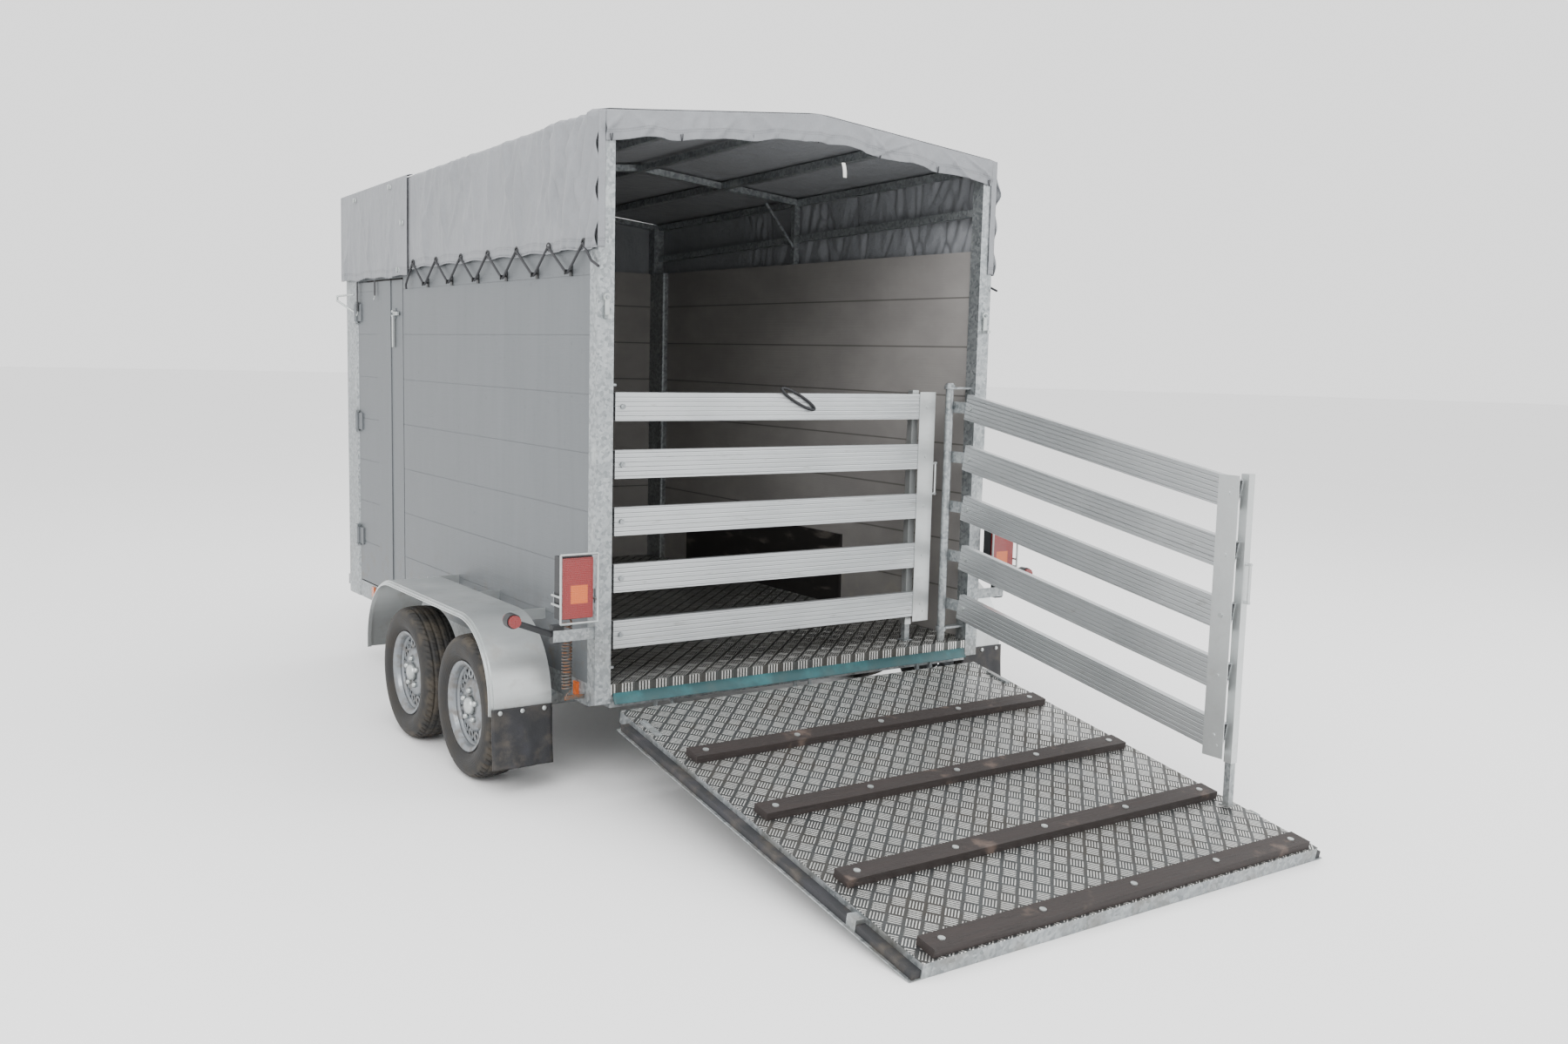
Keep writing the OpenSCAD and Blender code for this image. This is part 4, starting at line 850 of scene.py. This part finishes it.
def tyre(centre, side):
    """The section turned about the axle, with the radius cut by four round grooves and by cross cuts."""
    section = tyre_section()
    points, quads, maps = spun(section, centre, side, 480, True)
    flat = points.reshape(480, len(section), 3)
    r, a = section[:, 0], section[:, 1]
    crown = np.clip((r - 0.246) / 0.006, 0, 1)
    grooves = sum(np.exp(-((a - g) / 0.0032) ** 4) for g in (-0.041, -0.0145, 0.0145, 0.041))
    turn = np.linspace(0, 2 * np.pi, 480, endpoint=False)[:, None]
    wave = np.sin(60 * turn + 14 * abs(a)[None, :] * 10)
    cuts = np.clip((wave - 0.55) / 0.3, 0, 1) * np.clip((abs(a) - 0.044) / 0.004, 0, 1)[None, :]
    fine = np.clip((np.sin(60 * turn + a[None, :] * 90) - 0.8) / 0.15, 0, 1) * (abs(a) < 0.039)[None, :]
    cut = crown[None, :] * np.clip(0.0062 * grooves[None, :] + 0.0042 * cuts + 0.0022 * fine, 0, 0.0062)
    radial = np.stack([np.zeros_like(turn), np.cos(turn), np.sin(turn)], -1)
    return (flat - cut[..., None] * radial).reshape(-1, 3), quads, maps


def holed_ring(centre, side, inner, outer, front, back, holes=14, radius=0.0098):
    """Flat ring with round holes: round each hole, points run in a straight line from its edge to the edge
    of its own slice of the ring, on both faces, with the wall of the hole between them."""
    around, rows = 48, 6
    s = np.linspace(0, 2 * np.pi, around, endpoint=False)
    half = np.pi / holes
    middle = (inner + outer) / 2
    c, d = np.cos(s), np.sin(s)
    reach = np.maximum(abs(c) / ((outer - inner) / 2), abs(d) / half)
    edge_r, edge_t = middle + c / reach, d / reach
    k = np.linspace(0, 1, rows)[:, None]
    ring_r = (middle + radius * c) * (1 - k) + edge_r * k
    ring_t = (radius * d / middle) * (1 - k) + edge_t * k
    level = np.concatenate([np.full(rows, front), np.full(rows, back)])[:, None]
    ring_r = np.concatenate([ring_r[::-1], ring_r])
    ring_t = np.concatenate([ring_t[::-1], ring_t])
    start = np.linspace(0, 2 * np.pi, holes, endpoint=False)[:, None, None]
    angle = ring_t[None] + start
    points = np.stack(np.broadcast_arrays(
        centre[0] + side * level[None], centre[1] + ring_r[None] * np.cos(angle),
        centre[2] + ring_r[None] * np.sin(angle)), -1).reshape(-1, 3)
    quads = grid_quads(2 * rows, around, False, True)
    each = 2 * rows * around
    return points, (quads[None] + (np.arange(holes) * each)[:, None, None]).reshape(-1, 4)


def wheel(name, side, forward):
    """Tyre, rim barrel, holed disc, hub cap and wheel bolts about one axle end."""
    centre = (side * WHEEL_X, REAR + forward, TYRE_R)
    made = piece(name + "_tyre", name, tyre_rubber_finish, [tyre(centre, side)])
    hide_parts(name)
    barrel = [(0.1512, -0.056), (0.1512, 0.051), (0.1560, 0.0545), (0.1630, 0.0560), (0.1652, 0.0590),
              (0.1640, 0.0622), (0.1590, 0.0612), (0.1520, 0.0570), (0.1455, 0.0500), (0.1440, 0.0200),
              (0.1300, -0.008), (0.1300, -0.030), (0.1460, -0.046), (0.1460, -0.058), (0.1620, -0.061),
              (0.1630, -0.057)]
    hub = [(0.0330, 0.036), (0.0600, 0.039), (0.0850, 0.036), (0.0985, 0.028), (0.0985, 0.023),
           (0.0850, 0.030), (0.0600, 0.033), (0.0330, 0.030)]
    shoulder = [(0.1335, 0.028), (0.1400, 0.033), (0.1450, 0.038), (0.1450, 0.031), (0.1400, 0.027),
                (0.1335, 0.023)]
    cap = [(0.0, 0.0600), (0.010, 0.0598), (0.020, 0.0580), (0.0280, 0.0530), (0.0320, 0.0450),
           (0.0325, 0.030), (0.0, 0.030)]
    turn = np.linspace(0, 2 * np.pi, 5, endpoint=False) + 0.3
    bolts = np.stack([np.full(5, centre[0] + side * 0.037), centre[1] + 0.056 * np.cos(turn),
                      centre[2] + 0.056 * np.sin(turn)], 1)
    shapes = [spun(barrel, centre, side, 120, True), spun(hub, centre, side, 96, True),
              spun(shoulder, centre, side, 120, True), holed_ring(centre, side, 0.098, 0.134, 0.028, 0.023)]
    piece(name + "_rim", name, rim_finish, shapes)
    piece(name + "_hub", name, rods,
          [spun(cap, centre, side, 48), studs(bolts, (side, 0, 0), 0.0115, 0.017, 6)])


tyre_rubber_finish, rim_finish = tyre_rubber(), rim_paint()
for name, side, forward in (("wheel_rear_left", -1, AXLES[0]), ("wheel_front_left", -1, AXLES[1]),
                            ("wheel_rear_right", 1, AXLES[0]), ("wheel_front_right", 1, AXLES[1])):
    wheel(name, side, forward)


# ---------------------------------------------------------------- springs, flaps and small parts
def lift_coils():
    """Even helix of spring wire between two straight ends, with a foot plate, on each side."""
    low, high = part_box("lift_springs")
    turns = 21
    y = (low[1] + high[1]) / 2
    shapes = []
    for side in (-1, 1):
        x = side * (POST + 0.062)
        t = np.linspace(0, 1, turns * 28)
        turn = 2 * np.pi * turns * t
        coil = np.stack([x + 0.0155 * np.cos(turn), y + 0.0155 * np.sin(turn), 0.378 + 0.238 * t], 1)
        shapes.append(tube(coil, 0.0030, (0, 0, 1), 8))
        for foot, tip in ((0.616, 0.652), (0.378, 0.345)):
            path = np.array([(x + 0.0155, y, foot), (x + 0.012, y, foot + 0.3 * (tip - foot)),
                             (x, y, foot + 0.5 * (tip - foot)), (x, y, tip)])
            shapes.append(tube(smoothed(resampled(path, 0.002), 3), 0.0030, (0, 1, 0), 8))
        ends = sorted((side * HALF, side * (abs(x) + 0.008)))
        shapes.append(slab((ends[0], y - 0.003, 0.340), (ends[1], y + 0.003, 0.356)))
    made = piece("lift_spring_coils", "chassis", spring_wire(), shapes)
    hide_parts("lift_springs")


def hung_rubber(x_ends, y_face, z_top, z_low, thick, sway):
    """Hanging rubber plate: flat at its clamped top, curling back and waving more towards its lower edge."""
    n = max(20, int((x_ends[1] - x_ends[0]) / 0.010))
    u, v = np.meshgrid(np.linspace(0, 1, n), np.linspace(0, 1, 30), indexing="ij")
    x = x_ends[0] + (x_ends[1] - x_ends[0]) * u
    z = z_top - (z_top - z_low) * v
    y = y_face - sway * v ** 2 * (1 + 0.25 * np.sin(u * 7 + x_ends[0])) - 0.1 * sway * np.sin(u * 23) * v
    faces = [np.stack([x, y - d, z], -1).reshape(-1, 3) for d in (thick, 0)]
    points = np.stack(faces, 0)
    front = grid_quads(n, 30)
    back = front[:, ::-1] + n * 30
    rim = np.concatenate([np.arange(0, n * 30, 30), (n - 1) * 30 + np.arange(1, 30),
                          np.arange(0, (n - 1) * 30, 30)[::-1] + 29, np.arange(1, 29)[::-1]])
    after = np.roll(rim, -1)
    wall = np.stack([rim, after, after + n * 30, rim + n * 30], 1)
    return points.reshape(-1, 3), np.concatenate([front, back, wall])


def flaps():
    """Mud flaps with their bolts, and the strip that covers the ramp's joint."""
    low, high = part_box("mud_flaps")
    y_face = high[1]
    shapes, bolts = [], []
    for side in (-1, 1):
        ends = sorted((side * 0.955, side * high[0]))
        shapes.append(hung_rubber(ends, y_face - 0.0005, high[2], low[2], 0.005, 0.014))
        bolts += [(side * x, y_face - 0.0055, high[2] - 0.013) for x in (0.985, 1.067, 1.149)]
    made = piece("mud_flap_sheets", "chassis", black_rubber, shapes)
    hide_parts("mud_flaps")
    piece("mud_flap_bolts", "chassis", rods, [studs(bolts, (0, -1, 0), 0.0085, 0.005, 12)])
    low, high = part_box("threshold_flap")
    strip_shape = hung_rubber((low[0], high[0]), REAR - 0.0005, high[2] + 0.004, 0.333, 0.004, 0.017)
    made = piece("threshold_strip", "chassis", teal_rubber, [strip_shape])
    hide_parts("threshold_flap")


lift_coils()
flaps()


# ---------------------------------------------------------------- floor, light
def studio():
    """Pale floor with a soft high sky and three large soft lamps."""
    f = Finish("studio_floor")
    colour = f.mix(f.noise(0.6, 2) * 0.4, shade("#f4f4f4"), shade("#eeeeee"))
    material = f.finish(colour, 0.85)
    mesh = bpy.data.meshes.new("studio_floor")
    turn = np.linspace(0, 2 * np.pi, 96, endpoint=False)
    points = np.stack([80 * np.cos(turn), 80 * np.sin(turn), np.full(96, -0.0005)], 1)
    mesh.from_pydata(points.tolist(), [], [list(range(96))])
    mesh.materials.append(material)
    floor = bpy.data.objects.new("studio_floor", mesh)
    bpy.context.scene.collection.objects.link(floor)
    world = bpy.data.worlds.new("studio_sky")
    bpy.context.scene.world = world
    world.use_nodes = True
    sky = world.node_tree.nodes["Background"]
    sky.inputs["Color"].default_value = (1, 1, 1, 1)
    sky.inputs["Strength"].default_value = 1.75
    for name, at, aim, size, power in (
        ("key", (-5.5, -6.5, 6.5), (0, -0.5, 1.0), 5.0, 620),
        ("fill", (5.5, -5.0, 4.5), (0, 0, 1.0), 5.0, 200),
        ("top", (0, 0.5, 8.0), (0, 0, 0), 6.0, 300),
    ):
        lamp = bpy.data.lights.new(name, "AREA")
        lamp.size, lamp.energy = size, power
        holder = bpy.data.objects.new(name, lamp)
        holder.location = at
        holder.rotation_euler = (Vector(aim) - Vector(at)).to_track_quat("-Z", "Y").to_euler()
        bpy.context.scene.collection.objects.link(holder)


studio()
